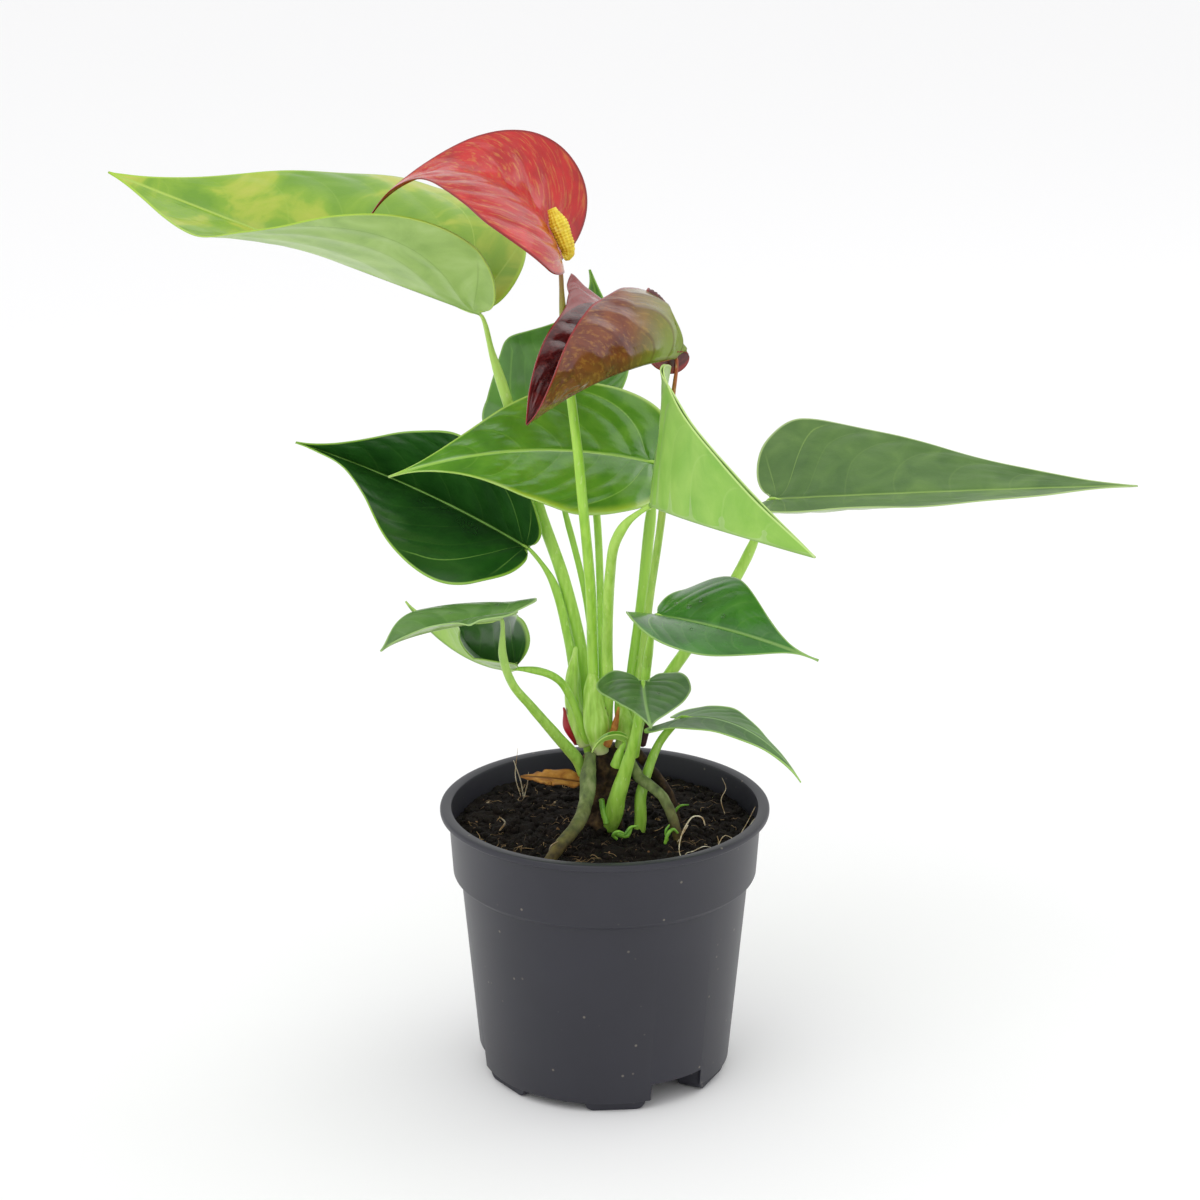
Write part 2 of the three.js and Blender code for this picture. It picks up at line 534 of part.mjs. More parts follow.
const boxOf = (solid) => {
  const { min, max } = solid.boundingBox();
  return new THREE.Box3(vector(min), vector(max));
};

function place(name, geometry, grownGeometry, material) {
  const whole = solidFrom(geometry);
  let solid = whole;
  for (const other of placed) {
    if (boxOf(solid).intersectsBox(other.box)) solid = solid.subtract(other.grown);
  }
  const mesh = new THREE.Mesh(geometryFrom(largestBody(solid)), material);
  mesh.name = name;
  plant.add(mesh);
  const grown = solidFrom(grownGeometry).add(whole);
  placed.push({ grown, box: boxOf(grown) });
}

const placeStem = (name, points, radii, material, options = {}) =>
  place(
    name,
    stemGeometry(points, radii, options),
    stemGeometry(points, radii, { ...options, grow: CLEARANCE }),
    material,
  );

const placeBlade = (name, base, blade, thickness, material, options = {}) =>
  place(
    name,
    bladeGeometry(base, blade, thickness, options),
    bladeGeometry(base, blade, thickness, { ...options, grow: CLEARANCE }),
    material,
  );

for (const [name, points, radii, material] of CROWN_PIECES) {
  placeStem(name, points, radii, material, { steps: 8 });
}
for (const { name, petiole, blade, finish: material } of LEAVES) {
  placeBlade(`${name}_leaf`, petiole.at(-1), blade, BLADE_THICKNESS, material);
}
for (const { name, peduncle, blade, spadix, spadixRadius, finish: material } of FLOWERS) {
  placeBlade(`${name}_spathe`, peduncle.at(-1), blade, SPATHE_THICKNESS, material, { columns: 4 });
  const radii = [0.8, 1, 0.45].map((share) => share * spadixRadius);
  placeStem(`${name}_spadix`, spadix, radii, SPADIX_YELLOW, { sides: 10, steps: 6 });
}
placeBlade('new_leaf', NEW_LEAF.base, NEW_LEAF.blade, BLADE_THICKNESS, YOUNG_LEAF, {
  rows: 6,
  columns: 1,
});
placeBlade('dried_leaf', DRIED_LEAF.base, DRIED_LEAF.blade, BLADE_THICKNESS, DRY_BROWN, {
  rows: 6,
  columns: 2,
});
for (const { name, petiole, radii } of LEAVES) {
  placeStem(`${name}_petiole`, petiole, radii, PETIOLE_GREEN, { short: STALK_GAP });
}
for (const { name, peduncle, radii } of FLOWERS) {
  placeStem(`${name}_peduncle`, peduncle, radii, PETIOLE_GREEN, { short: STALK_GAP });
}

// ---------------------------------------------------------------- the whole object
const object = new THREE.Group();
object.name = 'potted_anthurium';

const pot = new THREE.Mesh(potGeometry(), POT_PLASTIC);
pot.name = 'pot';
object.add(pot);

let soilSolid = solidFrom(soilGeometry());
for (const { grown, box } of placed) {
  if (box.min.z < SOIL_BUMP) soilSolid = soilSolid.subtract(grown.translate(0, 0, SOIL_TOP));
}
const soil = new THREE.Mesh(geometryFrom(largestBody(soilSolid)), PEAT);
soil.name = 'soil';
object.add(soil, plant);

// The pot stands with the middle of the whole box over the origin.
const extent = new THREE.Box3().setFromObject(object);
const middle = extent.getCenter(new THREE.Vector3());
object.position.set(-middle.x, -middle.y, -extent.min.z);

export default object;
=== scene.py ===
# A young anthurium in its nursery pot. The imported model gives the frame, and each section below makes
# one piece or one group of like pieces round it, in the order in which the real thing is put together.
import math
import random

import bmesh
import bpy
from mathutils import Matrix, Quaternion, Vector, noise


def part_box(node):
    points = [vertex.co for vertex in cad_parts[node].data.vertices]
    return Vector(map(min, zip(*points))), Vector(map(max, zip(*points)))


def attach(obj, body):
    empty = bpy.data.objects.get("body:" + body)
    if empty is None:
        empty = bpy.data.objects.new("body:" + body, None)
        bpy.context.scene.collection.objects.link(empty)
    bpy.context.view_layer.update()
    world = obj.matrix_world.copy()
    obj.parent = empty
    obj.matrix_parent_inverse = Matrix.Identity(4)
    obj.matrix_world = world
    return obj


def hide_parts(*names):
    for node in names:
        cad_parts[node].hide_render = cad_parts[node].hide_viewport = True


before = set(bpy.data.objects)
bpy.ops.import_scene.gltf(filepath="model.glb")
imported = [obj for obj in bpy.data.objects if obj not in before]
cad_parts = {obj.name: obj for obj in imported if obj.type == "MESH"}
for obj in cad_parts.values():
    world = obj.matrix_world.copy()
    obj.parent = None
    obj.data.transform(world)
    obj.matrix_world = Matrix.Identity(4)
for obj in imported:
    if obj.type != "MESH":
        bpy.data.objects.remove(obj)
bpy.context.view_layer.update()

MM = 0.001

# ---------------------------------------------------------------- camera
# It stands in front of the plant at table height and looks down on it a little, with a long lens.
pot_low, pot_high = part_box("pot")
pot_axis = Vector(((pot_low.x + pot_high.x) / 2, (pot_low.y + pot_high.y) / 2, 0))
CAMERA_PITCH = math.radians(18.04)
CAMERA_DISTANCE = 1.2
CAMERA_LENS = 100.8
aim = pot_axis + Vector((-1.73, 0, 179.8)) * MM
camera_data = bpy.data.cameras.new("camera")
camera_data.lens = CAMERA_LENS
camera_data.sensor_width = 36
camera = bpy.data.objects.new("camera", camera_data)
bpy.context.scene.collection.objects.link(camera)
sight = Vector((0, math.cos(CAMERA_PITCH), -math.sin(CAMERA_PITCH)))
camera.location = aim - CAMERA_DISTANCE * sight
camera.rotation_euler = (math.pi / 2 - CAMERA_PITCH, 0, 0)
bpy.context.scene.camera = camera

# ---------------------------------------------------------------- studio
# A white table top that runs on out of sight, under a large soft box, in a white room.
FLOOR_HALF_WIDTH = 8


def linear(hexadecimal):
    """An sRGB hex colour as the linear colour that a shader takes."""
    channels = [int(hexadecimal[i : i + 2], 16) / 255 for i in (1, 3, 5)]
    return tuple(c / 12.92 if c <= 0.04045 else ((c + 0.055) / 1.055) ** 2.4 for c in channels) + (1,)


def node(tree, kind, inputs=None, **settings):
    """Adds a node, with its settings, and with values or links on its inputs."""
    made = tree.nodes.new("ShaderNode" + kind)
    for name, value in settings.items():
        setattr(made, name, value)
    for name, value in (inputs or {}).items():
        if isinstance(value, bpy.types.NodeSocket):
            tree.links.new(value, made.inputs[name])
        else:
            made.inputs[name].default_value = value
    return made


def start_material(name, **sockets):
    """A material with its shader, whose even values are set straight on the sockets."""
    material = bpy.data.materials.new(name)
    material.use_nodes = True
    shader = material.node_tree.nodes["Principled BSDF"]
    for socket, value in sockets.items():
        shader.inputs[socket.replace("_", " ")].default_value = value
    return material, material.node_tree, shader


world = bpy.data.worlds.new("white_room")
world.use_nodes = True
world.node_tree.nodes["Background"].inputs["Color"].default_value = (1.0, 1.0, 1.0, 1)
world.node_tree.nodes["Background"].inputs["Strength"].default_value = 1.0
bpy.context.scene.world = world
bpy.context.scene.view_settings.view_transform = "Standard"

for light_name, place, size, power in (
    ("soft_box", (-0.7, -0.9, 1.5), 1.1, 5.5),
    ("window", (0.9, 0.5, 1.3), 0.9, 2.5),
):
    light_data = bpy.data.lights.new(light_name, "AREA")
    light_data.size = size
    light_data.energy = power
    light = bpy.data.objects.new(light_name, light_data)
    light.location = pot_axis + Vector(place)
    light.rotation_euler = (aim - light.location).to_track_quat("-Z", "Y").to_euler()
    bpy.context.scene.collection.objects.link(light)

floor_bm = bmesh.new()
bmesh.ops.create_grid(floor_bm, x_segments=1, y_segments=1, size=FLOOR_HALF_WIDTH)
floor_mesh = bpy.data.meshes.new("table_top")
floor_bm.to_mesh(floor_mesh)
floor_bm.free()
table_top = bpy.data.objects.new("table_top", floor_mesh)
bpy.context.scene.collection.objects.link(table_top)
floor_material, _, _ = start_material("white_table", Base_Color=(0.93, 0.93, 0.935, 1), Roughness=0.9)
floor_mesh.materials.append(floor_material)

# ---------------------------------------------------------------- pot
# An injection-moulded polypropylene nursery pot: a thin wall with a deep collar under a rolled lip,
# a floor with drain holes, a skirt with three notches, and six feet moulded on below.
POT_HEIGHT = pot_high.z / MM
RIM_RADIUS = (pot_high.x - pot_low.x) / 2 / MM
WALL = 1.3
LIP_HEIGHT = 2.6
LIP_OVERHANG = 3.1
COLLAR_DEPTH = 25
COLLAR_STEP = 2.9
COLLAR_CHAMFER = 2.6
COLLAR_TAPER = 1.5
BASE_RADIUS = RIM_RADIUS - 14
FLOOR_HEIGHT = 10.4
SKIRT_HEIGHT = 3.5
NOTCH_HEIGHT = 10
FOOT_COUNT = 6
FOOT_SIZE = (9, 22)
FOOT_INSET = 2.4
FOOT_CORNER = 3.5
FIRST_FOOT_ANGLE = -25
HOLE_RADIUS = 4.5
HOLE_INSET = 22
POT_STEPS = 144

collar_radius = RIM_RADIUS - LIP_OVERHANG
wall_top_radius = collar_radius - COLLAR_TAPER - COLLAR_STEP
collar_bottom = POT_HEIGHT - COLLAR_DEPTH
wall_top = collar_bottom - COLLAR_CHAMFER
lip_bottom = POT_HEIGHT - LIP_HEIGHT
soil_top = POT_HEIGHT - 7


def wall_radius(height):
    """The outer radius of the wall below the collar."""
    share = (height - SKIRT_HEIGHT) / (wall_top - SKIRT_HEIGHT)
    return BASE_RADIUS + (wall_top_radius - BASE_RADIUS) * share


def finish_piece(bm, name, materials, replaces=(), merge=0.0):
    """Turns a bmesh, in the row frame, into a smooth piece that rides on the plant's one body."""
    if merge:
        bmesh.ops.remove_doubles(bm, verts=bm.verts, dist=merge)
    mesh = bpy.data.meshes.new(name)
    bm.to_mesh(mesh)
    bm.free()
    mesh.shade_smooth()
    for material in materials:
        mesh.materials.append(material)
    piece = bpy.data.objects.new(name, mesh)
    bpy.context.scene.collection.objects.link(piece)
    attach(piece, "root")
    if replaces:
        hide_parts(*replaces)
    return piece


def cut_away(piece, cutter_bm):
    """Cuts the closed shapes in a bmesh out of a piece, for good."""
    cutter_mesh = bpy.data.meshes.new("cutter")
    cutter_bm.to_mesh(cutter_mesh)
    cutter_bm.free()
    cutter = bpy.data.objects.new("cutter", cutter_mesh)
    bpy.context.scene.collection.objects.link(cutter)
    cut = piece.modifiers.new("cut", "BOOLEAN")
    cut.operation = "DIFFERENCE"
    cut.object = cutter
    whole = bpy.context.evaluated_depsgraph_get()
    cut_mesh = bpy.data.meshes.new_from_object(piece.evaluated_get(whole))
    piece.modifiers.remove(cut)
    piece.data = cut_mesh
    bpy.data.objects.remove(cutter)
    bpy.data.meshes.remove(cutter_mesh)


# Moulded polypropylene: near black with a satin skin that catches a grey sheen at its edges, a very
# fine mould grain, faint rings left by turning the mould, and the dust and peat crumbs of the nursery.
POT_CHARCOAL = "#22222a"
POT_WORN = "#2c2c36"
POT_DUST = "#7d766a"
MOULD_GRAIN_MM = 0.5  # the real grain is finer, but would not show
DUST_SPACING_MM = 5

pot_material, tree, shader = start_material(
    "satin_polypropylene", Roughness=0.42, IOR=1.49, Specular_IOR_Level=0.45
)
place = node(tree, "TexCoord").outputs["Object"]
cloud = node(tree, "TexNoise", {"Vector": place, "Scale": 1 / (30 * MM), "Detail": 4})
charcoal = node(
    tree, "Mix",
    {"Factor": cloud.outputs["Fac"], "A": linear(POT_CHARCOAL), "B": linear(POT_WORN)},
    data_type="RGBA",
)
specks = node(tree, "TexVoronoi", {"Vector": place, "Scale": 1 / (DUST_SPACING_MM * MM)})
speck_shape = node(
    tree, "MapRange",
    {"Value": specks.outputs["Distance"], "From Min": 0.06, "From Max": 0.12, "To Min": 1, "To Max": 0},
)
patchy = node(
    tree, "TexNoise", {"Vector": place, "Scale": 1 / (22 * MM), "Detail": 2}
)
patchy_shape = node(
    tree, "MapRange",
    {"Value": patchy.outputs["Fac"], "From Min": 0.52, "From Max": 0.6, "To Min": 0, "To Max": 0.75},
)
dusty = node(
    tree, "Math", {0: speck_shape.outputs[0], 1: patchy_shape.outputs[0]}, operation="MULTIPLY"
)
pot_colour = node(
    tree, "Mix",
    {"Factor": dusty.outputs[0], "A": charcoal.outputs["Result"], "B": linear(POT_DUST)},
    data_type="RGBA",
)
tree.links.new(pot_colour.outputs["Result"], shader.inputs["Base Color"])
grain = node(tree, "TexNoise", {"Vector": place, "Scale": 1 / (MOULD_GRAIN_MM * MM), "Detail": 2})
grain_bump = node(
    tree, "Bump", {"Height": grain.outputs["Fac"], "Strength": 0.08, "Distance": 0.1 * MM}
)
tree.links.new(grain_bump.outputs["Normal"], shader.inputs["Normal"])

lip_round = 0.9
profile = [
    (0.01, FLOOR_HEIGHT),
    (wall_radius(FLOOR_HEIGHT) - WALL, FLOOR_HEIGHT),
    (BASE_RADIUS - WALL, SKIRT_HEIGHT + 0.3),
    (BASE_RADIUS - WALL + 0.3, SKIRT_HEIGHT),
    (BASE_RADIUS - 0.3, SKIRT_HEIGHT),
    (BASE_RADIUS, SKIRT_HEIGHT + 0.4),
    (wall_top_radius, wall_top),
    (wall_top_radius + 0.15, wall_top + 0.3),
    (collar_radius - COLLAR_TAPER - 0.3, collar_bottom - 0.4),
    (collar_radius - COLLAR_TAPER, collar_bottom + 0.3),
    (collar_radius, lip_bottom - 0.3),
    (collar_radius + 0.2, lip_bottom),
]
for turn in range(0, 91, 30):
    angle = math.radians(turn - 90)
    inset, rise = lip_round * (1 - math.cos(angle)), lip_round * (1 + math.sin(angle))
    profile.append((RIM_RADIUS - inset, lip_bottom + rise))
for turn in range(0, 91, 30):
    angle = math.radians(turn)
    inset, drop = lip_round * (1 - math.cos(angle)), lip_round * (1 - math.sin(angle))
    profile.append((RIM_RADIUS - inset, POT_HEIGHT - drop))
profile += [
    (collar_radius - WALL + 1.2, POT_HEIGHT),
    (collar_radius - WALL + 0.35, POT_HEIGHT - 0.35),
    (collar_radius - WALL, POT_HEIGHT - 1.2),
    (collar_radius - COLLAR_TAPER - WALL, collar_bottom),
    (wall_top_radius - WALL, wall_top),
    (wall_radius(FLOOR_HEIGHT + WALL) - WALL, FLOOR_HEIGHT + WALL),
    (0.01, FLOOR_HEIGHT + WALL),
]
pot_bm = bmesh.new()
ring = [pot_bm.verts.new(pot_axis + Vector((radius, 0, height)) * MM) for radius, height in profile]
edges = [pot_bm.edges.new(pair) for pair in zip(ring, ring[1:] + ring[:1])]
bmesh.ops.spin(
    pot_bm, geom=ring + edges, cent=pot_axis, axis=(0, 0, 1), angle=2 * math.pi,
    steps=POT_STEPS, use_merge=True,
)
bmesh.ops.remove_doubles(pot_bm, verts=pot_bm.verts, dist=0.02 * MM)
bmesh.ops.recalc_face_normals(pot_bm, faces=pot_bm.faces)
pot_shell = finish_piece(pot_bm, "pot_shell", [pot_material], ["pot"])

cutters = bmesh.new()
for index in range(FOOT_COUNT):
    turn = Matrix.Translation(pot_axis) @ Matrix.Rotation(
        math.radians(FIRST_FOOT_ANGLE - 360 / FOOT_COUNT * (index + 0.5)), 4, "Z"
    )
    bmesh.ops.create_cone(
        cutters, cap_ends=True, segments=24, radius1=HOLE_RADIUS * MM, radius2=HOLE_RADIUS * MM,
        depth=4 * WALL * MM,
        matrix=turn @ Matrix.Translation(Vector((BASE_RADIUS - HOLE_INSET, 0, FLOOR_HEIGHT + WALL / 2)) * MM),
    )
    if index % 2 == 0:
        notch_size = Matrix.Diagonal(Vector((12, FOOT_SIZE[1], NOTCH_HEIGHT, 1 / MM)) * MM)
        notch_place = Matrix.Translation(Vector((BASE_RADIUS, 0, NOTCH_HEIGHT / 2)) * MM)
        bmesh.ops.create_cube(cutters, size=1, matrix=turn @ notch_place @ notch_size)
cut_away(pot_shell, cutters)
for polygon in pot_shell.data.polygons:
    polygon.use_smooth = True
pot_shell.data.set_sharp_from_angle(angle=math.radians(32))

feet_bm = bmesh.new()
for index in range(FOOT_COUNT):
    turn = Matrix.Translation(pot_axis) @ Matrix.Rotation(
        math.radians(FIRST_FOOT_ANGLE - 360 / FOOT_COUNT * index), 4, "Z"
    )
    depth, width = FOOT_SIZE
    height = FLOOR_HEIGHT + WALL / 2
    foot_place = Matrix.Translation(Vector((BASE_RADIUS - FOOT_INSET - depth / 2, 0, height / 2)) * MM)
    foot_size = Matrix.Diagonal(Vector((depth, width, height, 1 / MM)) * MM)
    foot = bmesh.ops.create_cube(feet_bm, size=1, matrix=turn @ foot_place @ foot_size)
    low_sides = []
    for edge in {edge for vert in foot["verts"] for edge in vert.link_edges}:
        first, second = (turn.inverted() @ vert.co for vert in edge.verts)
        if max(first.z, second.z) < MM and abs(first.y - second.y) < MM:
            low_sides.append(edge)
    bmesh.ops.bevel(
        feet_bm, geom=low_sides, offset=FOOT_CORNER * MM, offset_type="OFFSET", segments=6,
        profile=0.5, affect="EDGES", material=-1,
    )
pot_feet = finish_piece(feet_bm, "pot_feet", [pot_material], ["pot"])
pot_feet.data.set_sharp_from_angle(angle=math.radians(32))
soften = pot_feet.modifiers.new("soft_edges", "BEVEL")
soften.width = 0.35 * MM
soften.segments = 2

# ---------------------------------------------------------------- peat
# Dark, fibrous peat that fills the pot to just under its rim: crumbs and clods of it, with threads
# of sedge, flakes of bark and a few pale grains, pressed down when the plant was potted.
PEAT_CELLS = 170
PEAT_LUMP_MM = 9
PEAT_CRUMB_MM = 2.6
PEAT_EDGE_DROP = 1.6
collar_lean = COLLAR_TAPER * (lip_bottom - soil_top) / (lip_bottom - collar_bottom)
soil_radius = collar_radius - WALL - 0.25 - collar_lean
soil_centre = pot_axis + Vector((0, 0, soil_top)) * MM
random.seed(5)


def peat_height(x, y):
    """Height of the peat's surface over its mean level, at a place in millimetres from the pot's axis."""
    reach = min(math.hypot(x, y) / soil_radius, 1)
    lumps = noise.noise(Vector((x, y, 3)) / PEAT_LUMP_MM) * 1.3
    crumbs = noise.noise(Vector((x, y, 9)) / PEAT_CRUMB_MM) * 1.0
    grit = noise.noise(Vector((x, y, 5)) / 1.1) * 0.35
    return lumps + crumbs + grit - 0.7 - PEAT_EDGE_DROP * reach**6


peat_material, tree, shader = start_material("damp_peat", Roughness=0.92, Specular_IOR_Level=0.25)
place = node(tree, "TexCoord").outputs["Object"]
clods = node(tree, "TexNoise", {"Vector": place, "Scale": 1 / (4 * MM), "Detail": 6, "Roughness": 0.7})
peat_tones = node(tree, "ValToRGB", {"Fac": clods.outputs["Fac"]})
peat_tones.color_ramp.elements[0].position = 0.35
peat_tones.color_ramp.elements[0].color = linear("#050302")
peat_tones.color_ramp.elements[1].position = 0.75
peat_tones.color_ramp.elements[1].color = linear("#211710")
tree.links.new(peat_tones.outputs["Color"], shader.inputs["Base Color"])
crumbs = node(tree, "TexNoise", {"Vector": place, "Scale": 1 / (0.8 * MM), "Detail": 4})
peat_bump = node(
    tree, "Bump", {"Height": crumbs.outputs["Fac"], "Strength": 1.0, "Distance": 0.8 * MM}
)
tree.links.new(peat_bump.outputs["Normal"], shader.inputs["Normal"])

peat_bm = bmesh.new()
bmesh.ops.create_grid(peat_bm, x_segments=PEAT_CELLS, y_segments=PEAT_CELLS, size=1)
rim_edges = [edge for edge in peat_bm.edges if edge.is_boundary]
for vert in peat_bm.verts:
    x, y = vert.co.x, vert.co.y
    x, y = x * math.sqrt(1 - y * y / 2) * soil_radius, y * math.sqrt(1 - x * x / 2) * soil_radius
    vert.co = soil_centre + Vector((x, y, peat_height(x, y))) * MM
ring = rim_edges
for height, radius in (
    (collar_bottom + 1, collar_radius - COLLAR_TAPER - WALL - 0.3),
    (wall_top - 1, wall_top_radius - WALL - 0.4),
    (FLOOR_HEIGHT + WALL + 0.3, wall_radius(FLOOR_HEIGHT + WALL) - WALL - 0.4),
):
    made = bmesh.ops.extrude_edge_only(peat_bm, edges=ring)["geom"]
    ring = [part for part in made if isinstance(part, bmesh.types.BMEdge) and part.is_boundary]
    for vert in (part for part in made if isinstance(part, bmesh.types.BMVert)):
        outward = (vert.co - soil_centre).xy.normalized() * radius
        vert.co = pot_axis + Vector((outward.x, outward.y, height)) * MM
bmesh.ops.holes_fill(peat_bm, edges=[edge for edge in peat_bm.edges if edge.is_boundary], sides=0)
bmesh.ops.recalc_face_normals(peat_bm, faces=peat_bm.faces)
peat = finish_piece(peat_bm, "peat_bed", [peat_material], ["soil"])

# Loose on the peat lie crumbs, a few pale grains, and threads of sedge that curl every way.
CRUMB_COUNT = 1500
GRAIN_COUNT = 46
THREAD_COUNT = 210
CROWN_RADIUS = 11


def spot_on_peat(inner=CROWN_RADIUS, outer=0.95):
    """A random place on the peat, clear of the crown, in millimetres from the pot's axis."""
    radius = math.sqrt(random.uniform((inner / soil_radius) ** 2, outer**2)) * soil_radius
    angle = random.uniform(0, 2 * math.pi)
    x, y = radius * math.cos(angle), radius * math.sin(angle)
    return Vector((x, y, peat_height(x, y)))


def add_crumb(bm, spot, size, flatness=1.0):
    """Adds a small rough lump."""
    turn = Quaternion((random.gauss(0, 1), random.gauss(0, 1), random.gauss(0, 1), random.gauss(0, 1)))
    crumb = bmesh.ops.create_icosphere(bm, subdivisions=1, radius=1)
    stretch = Vector((1, random.uniform(0.5, 0.9), random.uniform(0.4, 0.8) * flatness)) * size
    for vert in crumb["verts"]:
        rough = vert.co * (1 + 0.35 * noise.noise(vert.co * 1.7 + spot))
        moved = turn.normalized() @ Vector(a * b for a, b in zip(rough, stretch))
        vert.co = soil_centre + (spot + moved) * MM


crumbs_bm = bmesh.new()
for _ in range(CRUMB_COUNT):
    add_crumb(crumbs_bm, spot_on_peat(8), random.uniform(0.5, 1.0) ** 3 * 2.6)
finish_piece(crumbs_bm, "peat_crumbs", [peat_material], ["soil"])

# Grains of bark, wood fibre and perlite: pale tan to grey, dull.
grain_material, tree, shader = start_material("bark_and_perlite", Roughness=0.85)
place = node(tree, "TexCoord").outputs["Object"]
kinds = node(tree, "TexNoise", {"Vector": place, "Scale": 1 / (6 * MM), "Detail": 1})
grain_tones = node(tree, "ValToRGB", {"Fac": kinds.outputs["Fac"]})
for position, colour in ((0.35, "#5b3d22"), (0.5, "#8b6a42"), (0.62, "#b9a98c"), (0.75, "#6f6f4b")):
    stop = grain_tones.color_ramp.elements.new(position)
    stop.color = linear(colour)
grain_tones.color_ramp.elements.remove(grain_tones.color_ramp.elements[0])
tree.links.new(grain_tones.outputs["Color"], shader.inputs["Base Color"])
grains_bm = bmesh.new()
for _ in range(GRAIN_COUNT):
    add_crumb(grains_bm, spot_on_peat(14) + Vector((0, 0, 0.3)), random.uniform(0.35, 1.0), 0.6)
finish_piece(grains_bm, "peat_grains", [grain_material], ["soil"])


def smooth_path(points, count):
    """Points evenly spaced along a smooth curve that goes through the given ones."""
    points = [Vector(point) for point in points]
    ends = [2 * points[0] - points[1], *points, 2 * points[-1] - points[-2]]
    fine = []
    for a, b, c, d in zip(ends, ends[1:], ends[2:], ends[3:]):
        knots = [0, 0, 0, 0]
        for i, (start, end) in enumerate(((a, b), (b, c), (c, d))):
            knots[i + 1] = knots[i] + max((end - start).length, 1e-4) ** 0.5
        k0, k1, k2, k3 = knots
        for step in range(16):
            t = k1 + (k2 - k1) * step / 16
            ab = a.lerp(b, (t - k0) / (k1 - k0))
            bc = b.lerp(c, (t - k1) / (k2 - k1))
            cd = c.lerp(d, (t - k2) / (k3 - k2))
            abc = ab.lerp(bc, (t - k0) / (k2 - k0))
            bcd = bc.lerp(cd, (t - k1) / (k3 - k1))
            fine.append(abc.lerp(bcd, (t - k1) / (k2 - k1)))
    fine.append(points[-1])
    runs = [0]
    for start, end in zip(fine, fine[1:]):
        runs.append(runs[-1] + (end - start).length)
    path = []
    place = 0
    for step in range(count + 1):
        run = runs[-1] * step / count
        while place < len(fine) - 2 and runs[place + 1] < run:
            place += 1
        share = (run - runs[place]) / max(runs[place + 1] - runs[place], 1e-9)
        path.append(fine[place].lerp(fine[place + 1], min(share, 1)))
    return path


def add_stem(bm, points, radii, sides=16, rings=40, roughness=0.0, grain=3.0, pattern=None):
    """Adds a round stem to a bmesh, in millimetres over the peat's middle, with its radius at each
    point and domed ends."""
    path = smooth_path(points, rings)
    before = set(bm.verts)
    bmesh.ops.create_grid(bm, x_segments=sides, y_segments=rings, size=0.5)
    made = [vert for vert in bm.verts if vert not in before]
    frames = []
    side = Vector((1, 0.3, 0.1))
    for step in range(rings + 1):
        tangent = (path[min(step + 1, rings)] - path[max(step - 1, 0)]).normalized()
        side = (side - side.dot(tangent) * tangent).normalized()
        frames.append((side, tangent.cross(side)))
    last = len(radii) - 1
    for vert in made:
        step = round((vert.co.y + 0.5) * rings)
        turn = vert.co.x * 2 * math.pi
        share = step / rings * last
        lower = min(int(share), last - 1)
        blend = share - lower
        blend = blend * blend * (3 - 2 * blend)
        radius = radii[lower] * (1 - blend) + radii[lower + 1] * blend
        if step in (0, rings):
            radius *= 0.55
        if pattern:
            radius *= 1 + pattern(turn, step / rings)
        first, second = frames[step]
        outward = first * math.cos(turn) + second * math.sin(turn)
        if roughness:
            radius *= 1 + roughness * noise.fractal((path[step] + outward * radius) / grain, 0.7, 2, 3)
        vert.co = soil_centre + (path[step] + outward * radius) * MM
    bmesh.ops.remove_doubles(bm, verts=made, dist=0.002 * MM)
    made = [vert for vert in made if vert.is_valid]
    rim = {edge for vert in made for edge in vert.link_edges if edge.is_boundary}
    bmesh.ops.holes_fill(bm, edges=list(rim), sides=0)
    return made


# Threads of sedge and old root: straw-coloured to dark brown, as thin as cotton.
thread_material, tree, shader = start_material("sedge_thread", Roughness=0.8)
place = node(tree, "TexCoord").outputs["Object"]
kinds = node(tree, "TexNoise", {"Vector": place, "Scale": 1 / (9 * MM), "Detail": 1})
thread_tones = node(tree, "ValToRGB", {"Fac": kinds.outputs["Fac"]})
thread_tones.color_ramp.elements[0].position = 0.42
thread_tones.color_ramp.elements[0].color = linear("#2b1d13")
thread_tones.color_ramp.elements[1].position = 0.66
thread_tones.color_ramp.elements[1].color = linear("#9b7f58")
tree.links.new(thread_tones.outputs["Color"], shader.inputs["Base Color"])
threads_bm = bmesh.new()
for _ in range(THREAD_COUNT):
    start = spot_on_peat(12, 0.9)
    heading = random.uniform(0, 2 * math.pi)
    length = random.uniform(3, 9)
    thread = [start]
    for step in range(4):
        heading += random.uniform(-0.9, 0.9)
        x = thread[-1].x + length / 4 * math.cos(heading)
        y = thread[-1].y + length / 4 * math.sin(heading)
        if math.hypot(x, y) > soil_radius - 1:
            x, y = thread[-1].x * 0.97, thread[-1].y * 0.97
        thread.append(Vector((x, y, peat_height(x, y) + random.uniform(0.1, 1.3))))
    thickness = random.uniform(0.08, 0.2)
    add_stem(threads_bm, thread, [thickness, thickness * 0.7], sides=4, rings=8)
bmesh.ops.recalc_face_normals(threads_bm, faces=threads_bm.faces)
finish_piece(threads_bm, "peat_threads", [thread_material], ["soil"])

# ---------------------------------------------------------------- rootstock
# The short stem that everything grows from: corky, dark brown to black, ringed with the scars and
# shreds of old leaf bases, and standing 3 cm out of the peat.
ROOTSTOCK_HEIGHT = 29
ROOTSTOCK_RADIUS = 7.5


